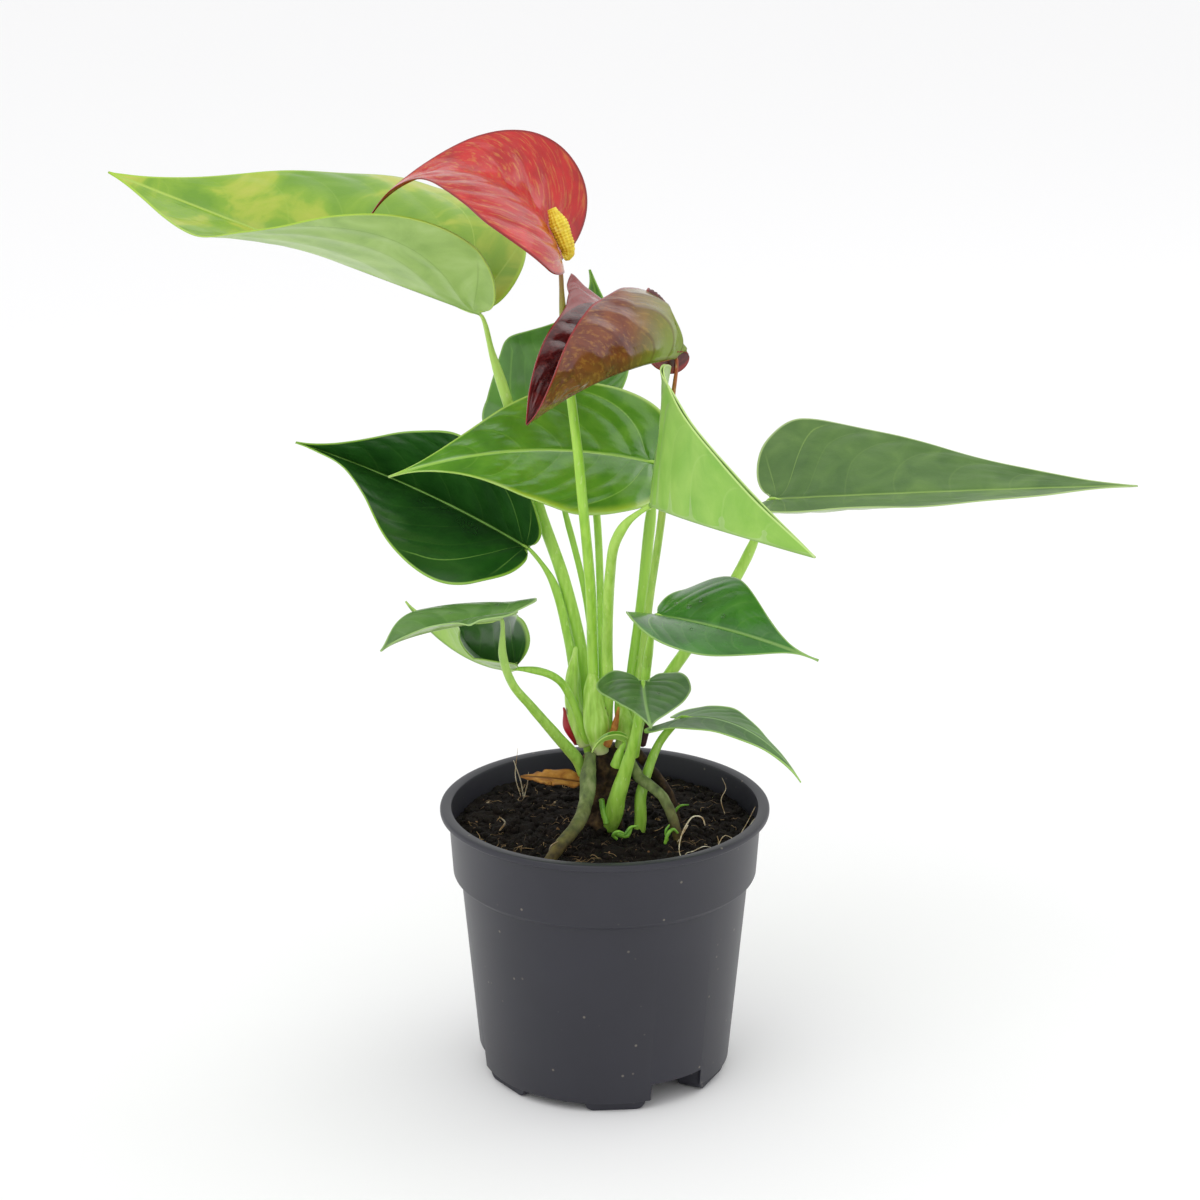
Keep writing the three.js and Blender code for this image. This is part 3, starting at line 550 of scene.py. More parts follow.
def wavy_tones(tree, stops, scale_mm, detail=4, stretch=(1, 1, 1), distortion=0.0):
    """Colours spread by a noise whose patches are scale_mm across."""
    place = node(tree, "TexCoord").outputs["Object"]
    spread = node(tree, "Mapping", {"Vector": place, "Scale": [1 / (scale_mm * MM * s) for s in stretch]})
    patches = node(
        tree, "TexNoise",
        {"Vector": spread.outputs[0], "Scale": 1, "Detail": detail, "Distortion": distortion},
    )
    tones = node(tree, "ValToRGB", {"Fac": patches.outputs["Fac"]})
    ramp = tones.color_ramp
    ramp.elements[0].position, ramp.elements[0].color = stops[0][0], linear(stops[0][1])
    ramp.elements[1].position, ramp.elements[1].color = stops[-1][0], linear(stops[-1][1])
    for position, colour in stops[1:-1]:
        ramp.elements.new(position).color = linear(colour)
    return tones.outputs["Color"], patches.outputs["Fac"]


def bump_on(tree, shader, height, strength, depth_mm):
    """Gives a shader a bump of a real depth."""
    made = node(tree, "Bump", {"Height": height, "Strength": strength, "Distance": depth_mm * MM})
    tree.links.new(made.outputs["Normal"], shader.inputs["Normal"])


bark_material, tree, shader = start_material("corky_bark", Roughness=0.8, Specular_IOR_Level=0.3)
bark_colour, bark_noise = wavy_tones(
    tree, [(0.3, "#120c08"), (0.5, "#2e2013"), (0.68, "#5a4527"), (0.8, "#7c6a3c")], 4, detail=6
)
tree.links.new(bark_colour, shader.inputs["Base Color"])
bump_on(tree, shader, bark_noise, 0.8, 0.8)

rootstock_bm = bmesh.new()
add_stem(
    rootstock_bm, [(0, -3, -7), (0, -2, 4), (-0.5, 1, 16), (0, 3, ROOTSTOCK_HEIGHT)],
    [0.8 * ROOTSTOCK_RADIUS, ROOTSTOCK_RADIUS, ROOTSTOCK_RADIUS, 0.85 * ROOTSTOCK_RADIUS],
    sides=64, rings=80, roughness=0.22, grain=4,
)
finish_piece(rootstock_bm, "rootstock_bark", [bark_material], ["rootstock"])

# ---------------------------------------------------------------- roots
# Surface roots as thick as a pencil lead: a grey-green, mealy skin that browns where it meets the
# peat. A dark dead one lies behind them, and fine white ones run over the peat at the right.
ROOTS = {
    "aerial_root_front": (
        [(-5, -7, 29.5), (-6, -11, 22), (-6.5, -16, 15), (-9.3, -24.7, 9.5), (-16, -35.5, 4.5),
         (-22, -42.9, -1)],
        [2, 2.9, 2.5, 2.4, 2.3, 1.8], "root_skin",
    ),
    "aerial_root_right": (
        [(9, -3, 25.5), (12.5, -8, 20), (17, -12, 18), (21.5, -14.8, 14), (25.5, -20, 5), (26.5, -22, -2)],
        [1.6, 2, 1.9, 1.9, 1.8, 1.4], "root_skin",
    ),
    "aerial_root_back": (
        [(10, 4, 27), (15.5, 3, 21), (24, 1.1, 9), (27, 0, -2)], [2, 1.8, 1.6, 1.2], "bark",
    ),
}


def height_share(tree, low_mm, high_mm):
    """How far up a point is between two heights over the peat, from 0 to 1."""
    place = node(tree, "TexCoord").outputs["Object"]
    parts = node(tree, "SeparateXYZ", {"Vector": place})
    low = soil_centre.z + low_mm * MM
    high = soil_centre.z + high_mm * MM
    return node(
        tree, "MapRange", {"Value": parts.outputs["Z"], "From Min": low, "From Max": high}
    ).outputs[0]


def mixed(tree, share, first, second):
    """Two colours, each a hex value or a socket, mixed by a share."""
    made = node(tree, "Mix", {"Factor": share}, data_type="RGBA")
    for socket, colour in (("A", first), ("B", second)):
        if isinstance(colour, str):
            made.inputs[socket].default_value = linear(colour)
        else:
            tree.links.new(colour, made.inputs[socket])
    return made.outputs["Result"]


root_material, tree, shader = start_material("mealy_root_skin", Roughness=0.7, Specular_IOR_Level=0.35)
green_skin, skin_noise = wavy_tones(
    tree, [(0.3, "#4d5838"), (0.5, "#6f8049"), (0.7, "#8f9a66")], 3, detail=5, stretch=(1, 1, 2)
)
brown_skin, _ = wavy_tones(tree, [(0.3, "#2c2412"), (0.55, "#564a22"), (0.75, "#6e6430")], 3, detail=5)
skin_colour = mixed(tree, height_share(tree, 5, 17), brown_skin, green_skin)
tree.links.new(skin_colour, shader.inputs["Base Color"])
bump_on(tree, shader, skin_noise, 0.5, 0.3)

for root_name, (points, radii, root_slot) in ROOTS.items():
    root_bm = bmesh.new()
    add_stem(root_bm, points, radii, sides=28, rings=90, roughness=0.09, grain=2.5)
    skin = root_material if root_slot == "root_skin" else bark_material
    finish_piece(root_bm, root_name + "_skin", [skin], [root_name])

fine_material, tree, shader = start_material("fine_white_root", Roughness=0.55, Specular_IOR_Level=0.4)
fine_colour, fine_noise = wavy_tones(tree, [(0.35, "#a9895c"), (0.6, "#e3d9bd"), (0.8, "#f0eadb")], 4)
tree.links.new(fine_colour, shader.inputs["Base Color"])
bump_on(tree, shader, fine_noise, 0.3, 0.1)
FINE_ROOTS = [
    (
        [(36, -19.5, 6), (35, -18, 8.4), (32, -19, 9.4), (29, -23, 7.4), (27, -28, 4.4), (26.4, -33, 2),
         (27.2, -38, 0.6)],
        0.26,
    ),
    ([(38, -30, 1.8), (35, -33, 3.4), (31.4, -34.4, 2.2), (28.6, -38, 2.6), (27.6, -42.4, 0.4)], 0.16),
    ([(30, -14, 4), (28.5, -18, 3), (26, -24, 1.5)], 0.2),
    ([(40, -34, 1), (44, -29, 3.2), (48, -25, 2.2), (51, -19, 4.2), (54, -15, 7)], 0.18),
    ([(39, -33, 1), (43, -25.4, 4.6), (46.4, -25, 3), (50, -16, 3.4), (54.6, -6, 8)], 0.16),
    ([(44, 4, 1), (42.6, 6, 6), (44.4, 8.6, 9.5), (43, 10, 13)], 0.14),
    ([(-30, 20, 1), (-31, 17, 9), (-33.5, 15, 18)], 0.22),
    ([(-30, 20, 1), (-28.5, 17, 8), (-28, 13, 14)], 0.22),
    ([(-31, 21, 1), (-33, 20, 10), (-32, 20, 21)], 0.16),
    ([(-38, -12, 1), (-36, -14, 5), (-38, -16, 8)], 0.3),
    ([(-20, -34, 1), (-19, -36, 5), (-16.5, -38, 7.5)], 0.22),
]
fine_bm = bmesh.new()
for points, radius in FINE_ROOTS:
    add_stem(fine_bm, points, [radius, radius, radius * 0.5], sides=8, rings=30, roughness=0.1, grain=1.5)
finish_piece(fine_bm, "fine_roots", [fine_material])

# ---------------------------------------------------------------- sheaths, bud and bracts
# Every stalk leaves the crown inside a pale, papery sheath that dries to brown at its edge. A new
# red bud points up at the left, and two old bracts, one orange and one purple, cling to the crown.
SHEATHS = {
    "sheath_front": ([(-1.5, -4, 28), (-2.5, -5, 37), (-4, -4.5, 48), (-4.5, -3, 62)], [3, 4.8, 3.6, 1]),
    "sheath_left": ([(-6.5, 1, 29), (-10.5, 1, 40.5), (-12, 2, 49.5), (-10.5, 3.5, 66)], [3, 3, 2.4, 0.8]),
    "sheath_right": ([(6.5, -1, 29), (7.5, -2, 36), (6, 0, 44.5), (6.5, 3, 56)], [3, 3.2, 2.4, 0.8]),
}
sheath_material, tree, shader = start_material(
    "pale_sheath", Roughness=0.45, Subsurface_Weight=0.15, Subsurface_Radius=(0.002, 0.003, 0.001)
)
shader.inputs["Subsurface Scale"].default_value = 1
fibres, fibre_noise = wavy_tones(
    tree, [(0.3, "#8fbb3f"), (0.5, "#a9d456"), (0.7, "#c6e183")], 1.6, detail=3, stretch=(1, 1, 14)
)
collar_tone = mixed(tree, height_share(tree, 27, 34), "#c9c3a0", fibres)
blotch, _ = wavy_tones(tree, [(0.69, "#000000"), (0.73, "#ffffff")], 5, detail=2)
spotted = mixed(tree, blotch, collar_tone, "#6b5a2c")
tree.links.new(spotted, shader.inputs["Base Color"])
bump_on(tree, shader, fibre_noise, 0.25, 0.25)
for sheath_name, (points, radii) in SHEATHS.items():
    sheath_bm = bmesh.new()
    add_stem(sheath_bm, points, radii, sides=32, rings=60, roughness=0.03, grain=6)
    finish_piece(sheath_bm, sheath_name + "_skin", [sheath_material], [sheath_name])

bud_material, tree, shader = start_material("red_bud_scale", Roughness=0.35)
bud_colour, bud_noise = wavy_tones(tree, [(0.3, "#7a0d18"), (0.6, "#b3202a")], 3, stretch=(1, 1, 5))
tree.links.new(bud_colour, shader.inputs["Base Color"])
bump_on(tree, shader, bud_noise, 0.2, 0.2)
bud_bm = bmesh.new()
add_stem(bud_bm, [(-9.5, 8, 27), (-12.5, 8.5, 33), (-15, 8.5, 41)], [1.6, 2.4, 0.4], sides=24, rings=40)
finish_piece(bud_bm, "red_bud_scale", [bud_material], ["red_bud"])

dry_material, tree, shader = start_material("dried_leaf_tissue", Roughness=0.65)
dry_colour, dry_noise = wavy_tones(
    tree, [(0.25, "#6e4216"), (0.45, "#a8641f"), (0.6, "#c98a38"), (0.8, "#dcb168")], 3.5, detail=6
)
tree.links.new(dry_colour, shader.inputs["Base Color"])
bump_on(tree, shader, dry_noise, 0.6, 0.4)
bract_bm = bmesh.new()
add_stem(
    bract_bm, [(0.5, -8, 32), (3.5, -8.5, 39.5), (5, -7.5, 47)], [1.4, 1.3, 0.5],
    sides=20, rings=40, roughness=0.15, grain=2,
)
finish_piece(bract_bm, "dry_bract_tissue", [dry_material], ["dry_bract"])

purple_material, tree, shader = start_material("purple_bract", Roughness=0.5)
purple_colour, purple_noise = wavy_tones(tree, [(0.3, "#2e1220"), (0.7, "#5c2036")], 3)
tree.links.new(purple_colour, shader.inputs["Base Color"])
bump_on(tree, shader, purple_noise, 0.3, 0.2)
purple_bm = bmesh.new()
add_stem(purple_bm, [(13.5, 3, 28), (15.5, 2, 36), (17, 2, 44)], [1.3, 1.1, 0.3], sides=14, rings=24)
finish_piece(purple_bm, "purple_bract", [purple_material])

# ---------------------------------------------------------------- shoots
# New shoots push through the peat at the foot of the crown: a green stub, a curled one that is
# opening, and small hooked ones between and to the right of them.
shoot_material, tree, shader = start_material("young_shoot", Roughness=0.4)
shoot_colour, shoot_noise = wavy_tones(tree, [(0.3, "#4f8a26"), (0.6, "#86bf3d")], 3)
tree.links.new(shoot_colour, shader.inputs["Base Color"])
bump_on(tree, shader, shoot_noise, 0.2, 0.15)
SHOOTS = {
    "shoot_stub": ([(-1.2, -9.5, 12.5), (-0.6, -10.5, 8.5), (0.6, -12, 3.5)], [1, 1.1, 1]),
    "shoot_curl": ([(9.5, -17, 4.5), (8, -19, 2), (5.5, -20, 2.4), (3.5, -21, 4)], [0.7, 0.9, 0.8, 0.6]),
}
for shoot_name, (points, radii) in SHOOTS.items():
    shoot_bm = bmesh.new()
    add_stem(shoot_bm, points, radii, sides=20, rings=36, roughness=0.08, grain=2)
    finish_piece(shoot_bm, shoot_name + "_skin", [shoot_material], [shoot_name])
hooks_bm = bmesh.new()
HOOKS = [
    ([(21.5, -25, 1), (22.5, -24.5, 4.5), (24.5, -23, 6), (26.3, -23, 4.4)], 0.6),
    ([(22.5, -22, 1), (22, -21.5, 5), (23.2, -21, 7)], 0.5),
    ([(4.5, -21.5, 1.5), (3, -22.5, 3.4), (4.6, -23.2, 5.2), (7, -22.8, 4.4)], 0.55),
    ([(7, -21, 3), (9.5, -20, 5.6), (12, -20.4, 6.2)], 0.5),
    ([(24, -6, 3), (27, -7, 8.5), (30.5, -8, 9.5)], 0.45),
]
for points, radius in HOOKS:
    add_stem(hooks_bm, points, [radius, radius * 1.2, radius * 0.6], sides=12, rings=24, roughness=0.08)
finish_piece(hooks_bm, "hooked_shoots", [shoot_material])

# ---------------------------------------------------------------- leaves
# Eleven heart-shaped leaves, each a leathery blade half a millimetre thick on a round stalk. The
# midrib and the basal veins are sunk into the upper side and stand out as ridges below, and the
# tissue between the side veins is quilted. The youngest leaves are yellow-green and glossy.
# Places are in millimetres over the middle of the peat. A blade's heading is the way that its midrib
# sets out, rise its slope there, droop how much it bows down by the tip, veer how much it turns, and
# roll and twist how it leans. Each half has its fold, how much that changes, and its curl. These numbers
# are the CAD's, and most of them are the rounded results of a fitting program and weren't set by hand.
LEAVES = {
    "front_heart": dict(
        petiole=((1.5, -6, 0), (3.5, -10, 8), (4.5, -12, 14), (7, -13, 23), (10.5, -17, 38),
            (12.5, -21, 52.5), (13.5, -22, 61.5)),
        radii=(3.4, 3.4, 2.9, 2.4, 2, 1.7, 1.5),
        blade=dict(length=42, half_width=16.7, lobe=9.3, tip_fullness=0.13, shoulder=0.16, heading=-89.5,
            rise=-3, droop=-1.5, veer=5, roll=-4, twist=-10, left=(2, -9, 16), right=(6.5, -3, -17)),
    ),
    "small_left": dict(
        petiole=((-7.5, -4, 19.5), (-9.5, -6, 25.5), (-17, -14, 38), (-26, -24, 53), (-32.5, -33, 65),
            (-35.5, -38, 77), (-36, -40, 91)),
        radii=(2.2, 2.2, 2, 1.8, 1.6, 1.5, 1.4),
        blade=dict(length=53, half_width=21.5, lobe=12, tip_fullness=0.02, shoulder=0.13, heading=163.5,
            rise=-12, droop=-17, veer=96, roll=-2, twist=-1, left=(35, 11, -37), right=(25, 12, -60)),
    ),
    "folded_left": dict(
        petiole=((-5.5, 1, 26), (-8.5, -2, 38), (-12, -4, 48.5), (-16, -7, 56.5), (-22, -10, 61),
            (-31.5, -12, 63)),
        radii=(1.8, 1.7, 1.6, 1.5, 1.4, 1.3),
        blade=dict(length=58, half_width=21, lobe=11.5, tip_fullness=0.12, shoulder=0.2, heading=132,
            rise=-19, droop=-69, veer=20, roll=-32, twist=66, left=(49, 24, 13), right=(61, 0, -45)),
    ),
    "small_right": dict(
        petiole=((12.5, -6.5, -3), (13, -7, 4), (13, -6.5, 12), (15.5, -4, 21), (19.5, -1.5, 30.5),
            (23.5, -2, 36.5), (27.8, -5, 42)),
        radii=(2.2, 2.2, 2.1, 1.9, 1.7, 1.5, 1.3),
        blade=dict(length=54, half_width=19.4, lobe=11.8, tip_fullness=0.11, shoulder=0.14, heading=-29.3,
            rise=17.7, droop=72, veer=0, roll=-10, twist=-19, left=(-1, -5, 15), right=(-16, -4, 17)),
    ),
    "lower_right": dict(
        petiole=((10, -2, 26), (13.5, -8, 50), (16, -16, 74), (17.9, -22, 86.4)),
        radii=(2.4, 2, 1.7, 1.5),
        blade=dict(length=66.5, half_width=23.8, lobe=4.4, tip_fullness=-0.09, shoulder=0.22,
            heading=-38.3, rise=5, droop=17, veer=8.5, roll=6.5, twist=51, left=(16, 2, -15),
            right=(25, -19, -1)),
    ),
    "front_right": dict(
        petiole=((0, 0, 33.5), (1, -3, 52), (0.8, -7, 68.5), (1, -11, 81.5), (1.8, -18, 100),
            (3.5, -24, 113.5), (8, -28, 122.5), (15.5, -30, 128.6)),
        radii=(2.6, 2.3, 2.1, 2, 1.9, 1.9, 1.8, 1.7),
        blade=dict(length=118, half_width=49, lobe=26, tip_fullness=0.43, shoulder=0.05, heading=-90,
            rise=15, droop=17.5, veer=53, roll=3.4, twist=10, left=(77, 6, 3), right=(104, 0, -9)),
    ),
    "centre": dict(
        petiole=((7, 5, 27), (10.5, 6, 58), (13.5, 8, 82), (15.5, 10, 104), (17, 10.5, 119),
            (17.8, 9, 133.1)),
        radii=(3, 2.4, 2.3, 2.2, 2.1, 1.9),
        blade=dict(length=96, half_width=28, lobe=7, tip_fullness=0.08, shoulder=0.26, heading=181,
            rise=14, droop=32, veer=6, roll=-32, twist=0, left=(4.5, -3.5, -14), right=(5.5, -4, 22.6)),
    ),
    "mid_left": dict(
        petiole=((-8, 6, 27.5), (-10.5, 7, 49), (-13.5, 9.5, 68), (-19, 13, 88), (-27.3, 15, 99.3)),
        radii=(2.2, 1.9, 1.7, 1.6, 1.5),
        blade=dict(length=111.6, half_width=38.5, lobe=9, tip_fullness=0.18, shoulder=0.21, heading=137,
            rise=14, droop=5, veer=15, roll=-45, twist=7, left=(41, 18.5, -26.5), right=(57.6, 12.7, 15.7)),
    ),
    "right": dict(
        petiole=((9, 5, 26), (20, 7, 48.5), (31, 9, 65), (45, 10, 86), (53, 11, 102), (59, 10, 119.4)),
        radii=(2.8, 2.3, 2.2, 2.1, 2, 1.8),
        blade=dict(length=130, half_width=40.5, lobe=7.8, tip_fullness=0.15, shoulder=0.07, heading=-10.8,
            rise=6, droop=4.7, veer=11.5, roll=7.3, twist=-7.4, left=(21, -6, 2), right=(3, -2, 26)),
    ),
    "top_left": dict(
        petiole=((-6, 11, 25.5), (-8, 12, 57), (-14.5, 15, 86.5), (-23.5, 20, 112.5), (-29, 24, 132),
            (-35, 26, 151.5), (-40, 25, 168.5), (-44.1, 20, 184.6)),
        radii=(3.2, 2.6, 2.4, 2.3, 2.2, 2.1, 2, 1.8),
        blade=dict(length=159, half_width=57, lobe=10.5, tip_fullness=0.13, shoulder=0.27, heading=161,
            rise=15.4, droop=3, veer=-13, roll=-12.7, twist=-15, left=(61, -62.5, 12),
            right=(47, -35.6, -59)),
    ),
    "back": dict(
        petiole=((-1.5, 10, 27), (-1, 12, 50.5), (-1.5, 17, 78.5), (-3, 27, 109), (-6, 38, 126),
            (-15, 43, 133), (-23.6, 45, 135.5)),
        radii=(2, 1.6, 1.5, 1.4, 1.4, 1.4, 1.3),
        blade=dict(length=67.5, half_width=32.4, lobe=15.6, tip_fullness=0.08, shoulder=0.35,
            heading=41.3, rise=23, droop=-89, veer=-11.7, roll=-2.6, twist=42.4, left=(21, 24, -10),
            right=(24, 2, 0)),
    ),
}
BLADE_NECK = 2.2
WIDEST = 0.42
SPINE_STEPS = 40
BLADE_ROWS = 150
BLADE_COLUMNS = 96
SHEET_MM = 0.45  # how thick a blade is
SIDE_VEINS = 7
LOBE_VEINS = 2
VEIN_SWEEP = 0.5  # how far toward the tip a side vein runs before it meets the margin


def cubic(t, a, b, c, d):
    return (1 - t) ** 3 * a + 3 * (1 - t) ** 2 * t * b + 3 * (1 - t) * t * t * c + t**3 * d


def margin(q, blade):
    """Half the outline of a blade, with q from the notch (0) to the tip (1): how far along the midrib a
    point of the margin is, and how far out from it."""
    length, half_width, shoulder = blade["length"], blade["half_width"], blade["shoulder"]
    if q < WIDEST:
        t = q / WIDEST
        along = cubic(t, 0, -1.25 * blade["lobe"], -1.15 * blade["lobe"], shoulder * length)
        return along, cubic(t, BLADE_NECK, BLADE_NECK + 0.05 * half_width, half_width, half_width)
    t = (q - WIDEST) / (1 - WIDEST)
    along = cubic(t, shoulder * length, (shoulder + 0.25) * length, 0.7 * length, length)
    return along, cubic(t, half_width, half_width, blade["tip_fullness"] * half_width, 0.25)


def spine_heading(blade, t):
    """The way that the midrib goes at a share t of its length."""
    yaw = math.radians(blade["heading"] + blade["veer"] * t)
    pitch = math.radians(blade["rise"] - blade["droop"] * t)
    return Vector((math.cos(pitch) * math.cos(yaw), math.cos(pitch) * math.sin(yaw), math.sin(pitch))), yaw


def spine_stations(base, blade):
    """The midrib's points at even steps along it."""
    stations = [Vector(base)]
    for step in range(SPINE_STEPS):
        way, _ = spine_heading(blade, (step + 0.5) / SPINE_STEPS)
        stations.append(stations[-1] + way * (blade["length"] / SPINE_STEPS))
    return stations


def spine_frame(stations, blade, along):
    """The midrib's point at a distance along it, the way on, the way to the left, and the way up.
    Behind the notch, where the distance is negative, the lobes go straight back or bend down."""
    t = min(max(along / blade["length"], 0), 1)
    place = min(int(t * SPINE_STEPS), SPINE_STEPS - 1)
    centre = stations[place].lerp(stations[place + 1], t * SPINE_STEPS - place)
    forward, yaw = spine_heading(blade, t)
    level = Vector((-math.sin(yaw), math.cos(yaw), 0))
    lean = math.radians(blade["roll"] + blade["twist"] * t)
    left = level * math.cos(lean) + forward.cross(level) * math.sin(lean)
    up = forward.cross(left)
    if along < 0:
        bend = max(math.radians(blade.get("back_bend", 0)) * (-along / blade["lobe"]), 1e-6)
        centre += forward * (along * math.sin(bend) / bend) + up * (along * (1 - math.cos(bend)) / bend)
        up = up * math.cos(bend) + left.cross(up) * math.sin(bend)
    return centre, forward, left, up


def blade_point(stations, blade, q, s):
    """A point of a blade, with s from its right margin (-1) to its left one (1), and how far out from
    the midrib it is."""
    along_margin, width = margin(q, blade)
    side = abs(s)
    along = (1 - side) * blade["length"] * q**1.25 + side * along_margin
    flare = blade.get("flare_right", 0) * math.exp(-(((q - 0.45) / 0.12) ** 2)) if s < 0 else 0
    out = side * width * (1 + flare)
    centre, _, left, up = spine_frame(stations, blade, along)
    fold, opening, curl = blade["right"] if s < 0 else blade["left"]
    angle = math.radians(fold + opening * min(max(along / blade["length"], 0), 1))
    bend = math.radians(0.01 if abs(curl) < 0.01 else curl) / blade["half_width"]
    across = (math.sin(angle + bend * out) - math.sin(angle)) / bend
    height = (math.cos(angle) - math.cos(angle + bend * out)) / bend
    return centre + left * (-across if s < 0 else across) + up * height, math.copysign(out, s), width


def vein_phase(q, s):
    """A number that is whole along each side vein: the veins leave the midrib one after another and
    sweep toward the tip, and those of the lobes fan out from the stalk."""
    sweep = VEIN_SWEEP * abs(s) ** 1.2
    if q >= sweep:
        return SIDE_VEINS * (q - sweep) / (1 - sweep)
    return LOBE_VEINS * (q / sweep - 1)


def add_blade(bm, base, blade, rows, columns, quilting=0.3, waves=0.5, seed=0, ragged=0.0):
    """Adds a blade's upper side to a bmesh, with its veins sunk in, and writes on its points where they
    are on the leaf, for the material."""
    names = ("rib", "phase", "spacing", "rim", "run", "across")
    layers = {name: bm.verts.layers.float.new(name) for name in names}
    stations = spine_stations(base, blade)
    bmesh.ops.create_grid(bm, x_segments=rows, y_segments=columns, size=1)
    bm.verts.ensure_lookup_table()
    for vert in bm.verts:
        q = (vert.co.x + 1) / 2
        s = math.copysign(abs(vert.co.y) ** 1.12, vert.co.y)
        q, s = min(max(q, 0), 1), min(max(s, -1), 1)
        point, out, width = blade_point(stations, blade, q, s)
        if ragged:
            gap = noise.noise(Vector((q * 9, s * 2, seed))) * ragged * abs(s) ** 3
            inner, _, _ = blade_point(stations, blade, q, s * 0.6)
            point = point.lerp(inner, max(gap, 0))
        vert.co = point
        vert[layers["rib"]] = out
        vert[layers["phase"]] = vein_phase(q, s)
        vert[layers["spacing"]] = max(blade["length"] / SIDE_VEINS * (1 - 0.35 * abs(s)), 1)
        vert[layers["rim"]] = width - abs(out)
        vert[layers["run"]] = q
        vert[layers["across"]] = s
    bm.normal_update()
    lifts = []
    for vert in bm.verts:
        phase, rim, s, q = (vert[layers[name]] for name in ("phase", "rim", "across", "run"))
        beat = 0.5 - 0.5 * math.cos(2 * math.pi * phase)
        fade = min(abs(vert[layers["rib"]]) / 4, 1) * min(rim / 5, 1)
        lift = quilting * (beat**0.6 - 0.5) * fade
        lift += 0.22 * quilting * noise.noise(Vector((phase * 1.3, s * 7, seed)) * 1.5) * fade
        lift -= 0.45 * math.exp(-((vert[layers["rib"]] / 0.9) ** 2)) * (1 - 0.6 * q)
        lift += waves * math.sin(q * 31 + s * 2 + seed) * abs(s) ** 5 * min(q * 4, 1) * (1 - q)
        lift += waves * 0.8 * noise.noise(Vector((q * 7, s * 1.5, seed + 3))) * abs(s) ** 3
        lifts.append(lift)
    for vert, lift in zip(bm.verts, lifts):
        vert.co = soil_centre + (vert.co + vert.normal * lift) * MM


def make_blade(name, base, blade, materials, slot, replaced, rows=BLADE_ROWS, columns=BLADE_COLUMNS, **form):
    """A whole blade: its upper side, given a thickness whose underside has the second material."""
    blade_bm = bmesh.new()
    add_blade(blade_bm, base, blade, rows, columns, **form)
    piece = finish_piece(blade_bm, name, materials, [replaced])
    sheet = piece.modifiers.new("sheet", "SOLIDIFY")
    sheet.thickness = SHEET_MM * MM
    sheet.offset = 0
    sheet.material_offset = 1
    sheet.material_offset_rim = 0
    return piece


def ramp_share(tree, value, low, high):
    """How far a value is from one limit to the other, from 0 to 1, with soft ends."""
    return node(
        tree, "MapRange", {"Value": value, "From Min": low, "From Max": high}, interpolation_type="SMOOTHSTEP"
    ).outputs[0]


def attribute(tree, name):
    """A number that the piece carries at each of its points."""
    return node(tree, "Attribute", attribute_name=name).outputs["Fac"]


def product(tree, first, second, operation="MULTIPLY"):
    """Two numbers, each a value or a socket, put together."""
    return node(tree, "Math", {0: first, 1: second}, operation=operation).outputs[0]


def vein_shares(tree, width_mm):
    """How much of the midrib, and of a side vein, there is at a point, each from 0 to 1."""
    rib = node(tree, "Math", {0: attribute(tree, "rib")}, operation="ABSOLUTE").outputs[0]
    midrib = ramp_share(tree, rib, 1.5 * width_mm, 0.5 * width_mm)
    phase = attribute(tree, "phase")
    off = product(tree, phase, node(tree, "Math", {0: phase}, operation="ROUND").outputs[0], "SUBTRACT")
    distance = product(
        tree, node(tree, "Math", {0: off}, operation="ABSOLUTE").outputs[0], attribute(tree, "spacing")
    )
    side = ramp_share(tree, distance, 0.9 * width_mm, 0.1 * width_mm)
    inside = ramp_share(tree, attribute(tree, "rim"), 0.5, 6)
    return midrib, product(tree, side, inside), phase


def leaf_skin(
    name, tones, vein, rim, vein_width=0.6, side_strength=0.12, basal_strength=0.5, rim_width=0.8,
    patch_mm=14, roughness=0.3, coat=0.25, tip=None, far_side=None, base_tone=None,
):
    """The skin of one side of a leaf: mottled green, with paler veins, and a pale thickened rim."""
    material, tree, shader = start_material(
        name, Roughness=roughness, IOR=1.45, Coat_Weight=coat, Coat_Roughness=0.22, Specular_IOR_Level=0.4
    )
    mottled, patches = wavy_tones(tree, tones, patch_mm, detail=5, distortion=0.6)
    midrib, side, phase = vein_shares(tree, vein_width)
    basal = ramp_share(tree, phase, 0.45, 0.2)
    strength = node(
        tree, "MapRange", {"Value": basal, "To Min": side_strength, "To Max": basal_strength}
    ).outputs[0]
    colour = mottled
    if base_tone:
        colour = mixed(tree, ramp_share(tree, attribute(tree, "run"), *base_tone[1:]), colour, base_tone[0])
    if far_side:
        colour = mixed(tree, ramp_share(tree, attribute(tree, "across"), *far_side[1:]), colour, far_side[0])
    if tip:
        colour = mixed(tree, ramp_share(tree, attribute(tree, "run"), *tip[1:]), colour, tip[0])
    colour = mixed(tree, product(tree, side, strength), colour, vein)
    colour = mixed(tree, midrib, colour, vein)
    colour = mixed(tree, ramp_share(tree, attribute(tree, "rim"), rim_width, 0.3 * rim_width), colour, rim)
    tree.links.new(colour, shader.inputs["Base Color"])
    place = node(tree, "TexCoord").outputs["Object"]
    cells = node(tree, "TexVoronoi", {"Vector": place, "Scale": 1 / (0.9 * MM)}, feature="SMOOTH_F1")
    height = product(tree, patches, product(tree, cells.outputs["Distance"], 0.5), "ADD")
    bump_on(tree, shader, height, 0.22, 0.3)
    rough = node(tree, "MapRange", {"Value": patches, "To Min": roughness - 0.08, "To Max": roughness + 0.12})
    tree.links.new(rough.outputs[0], shader.inputs["Roughness"])
    return material


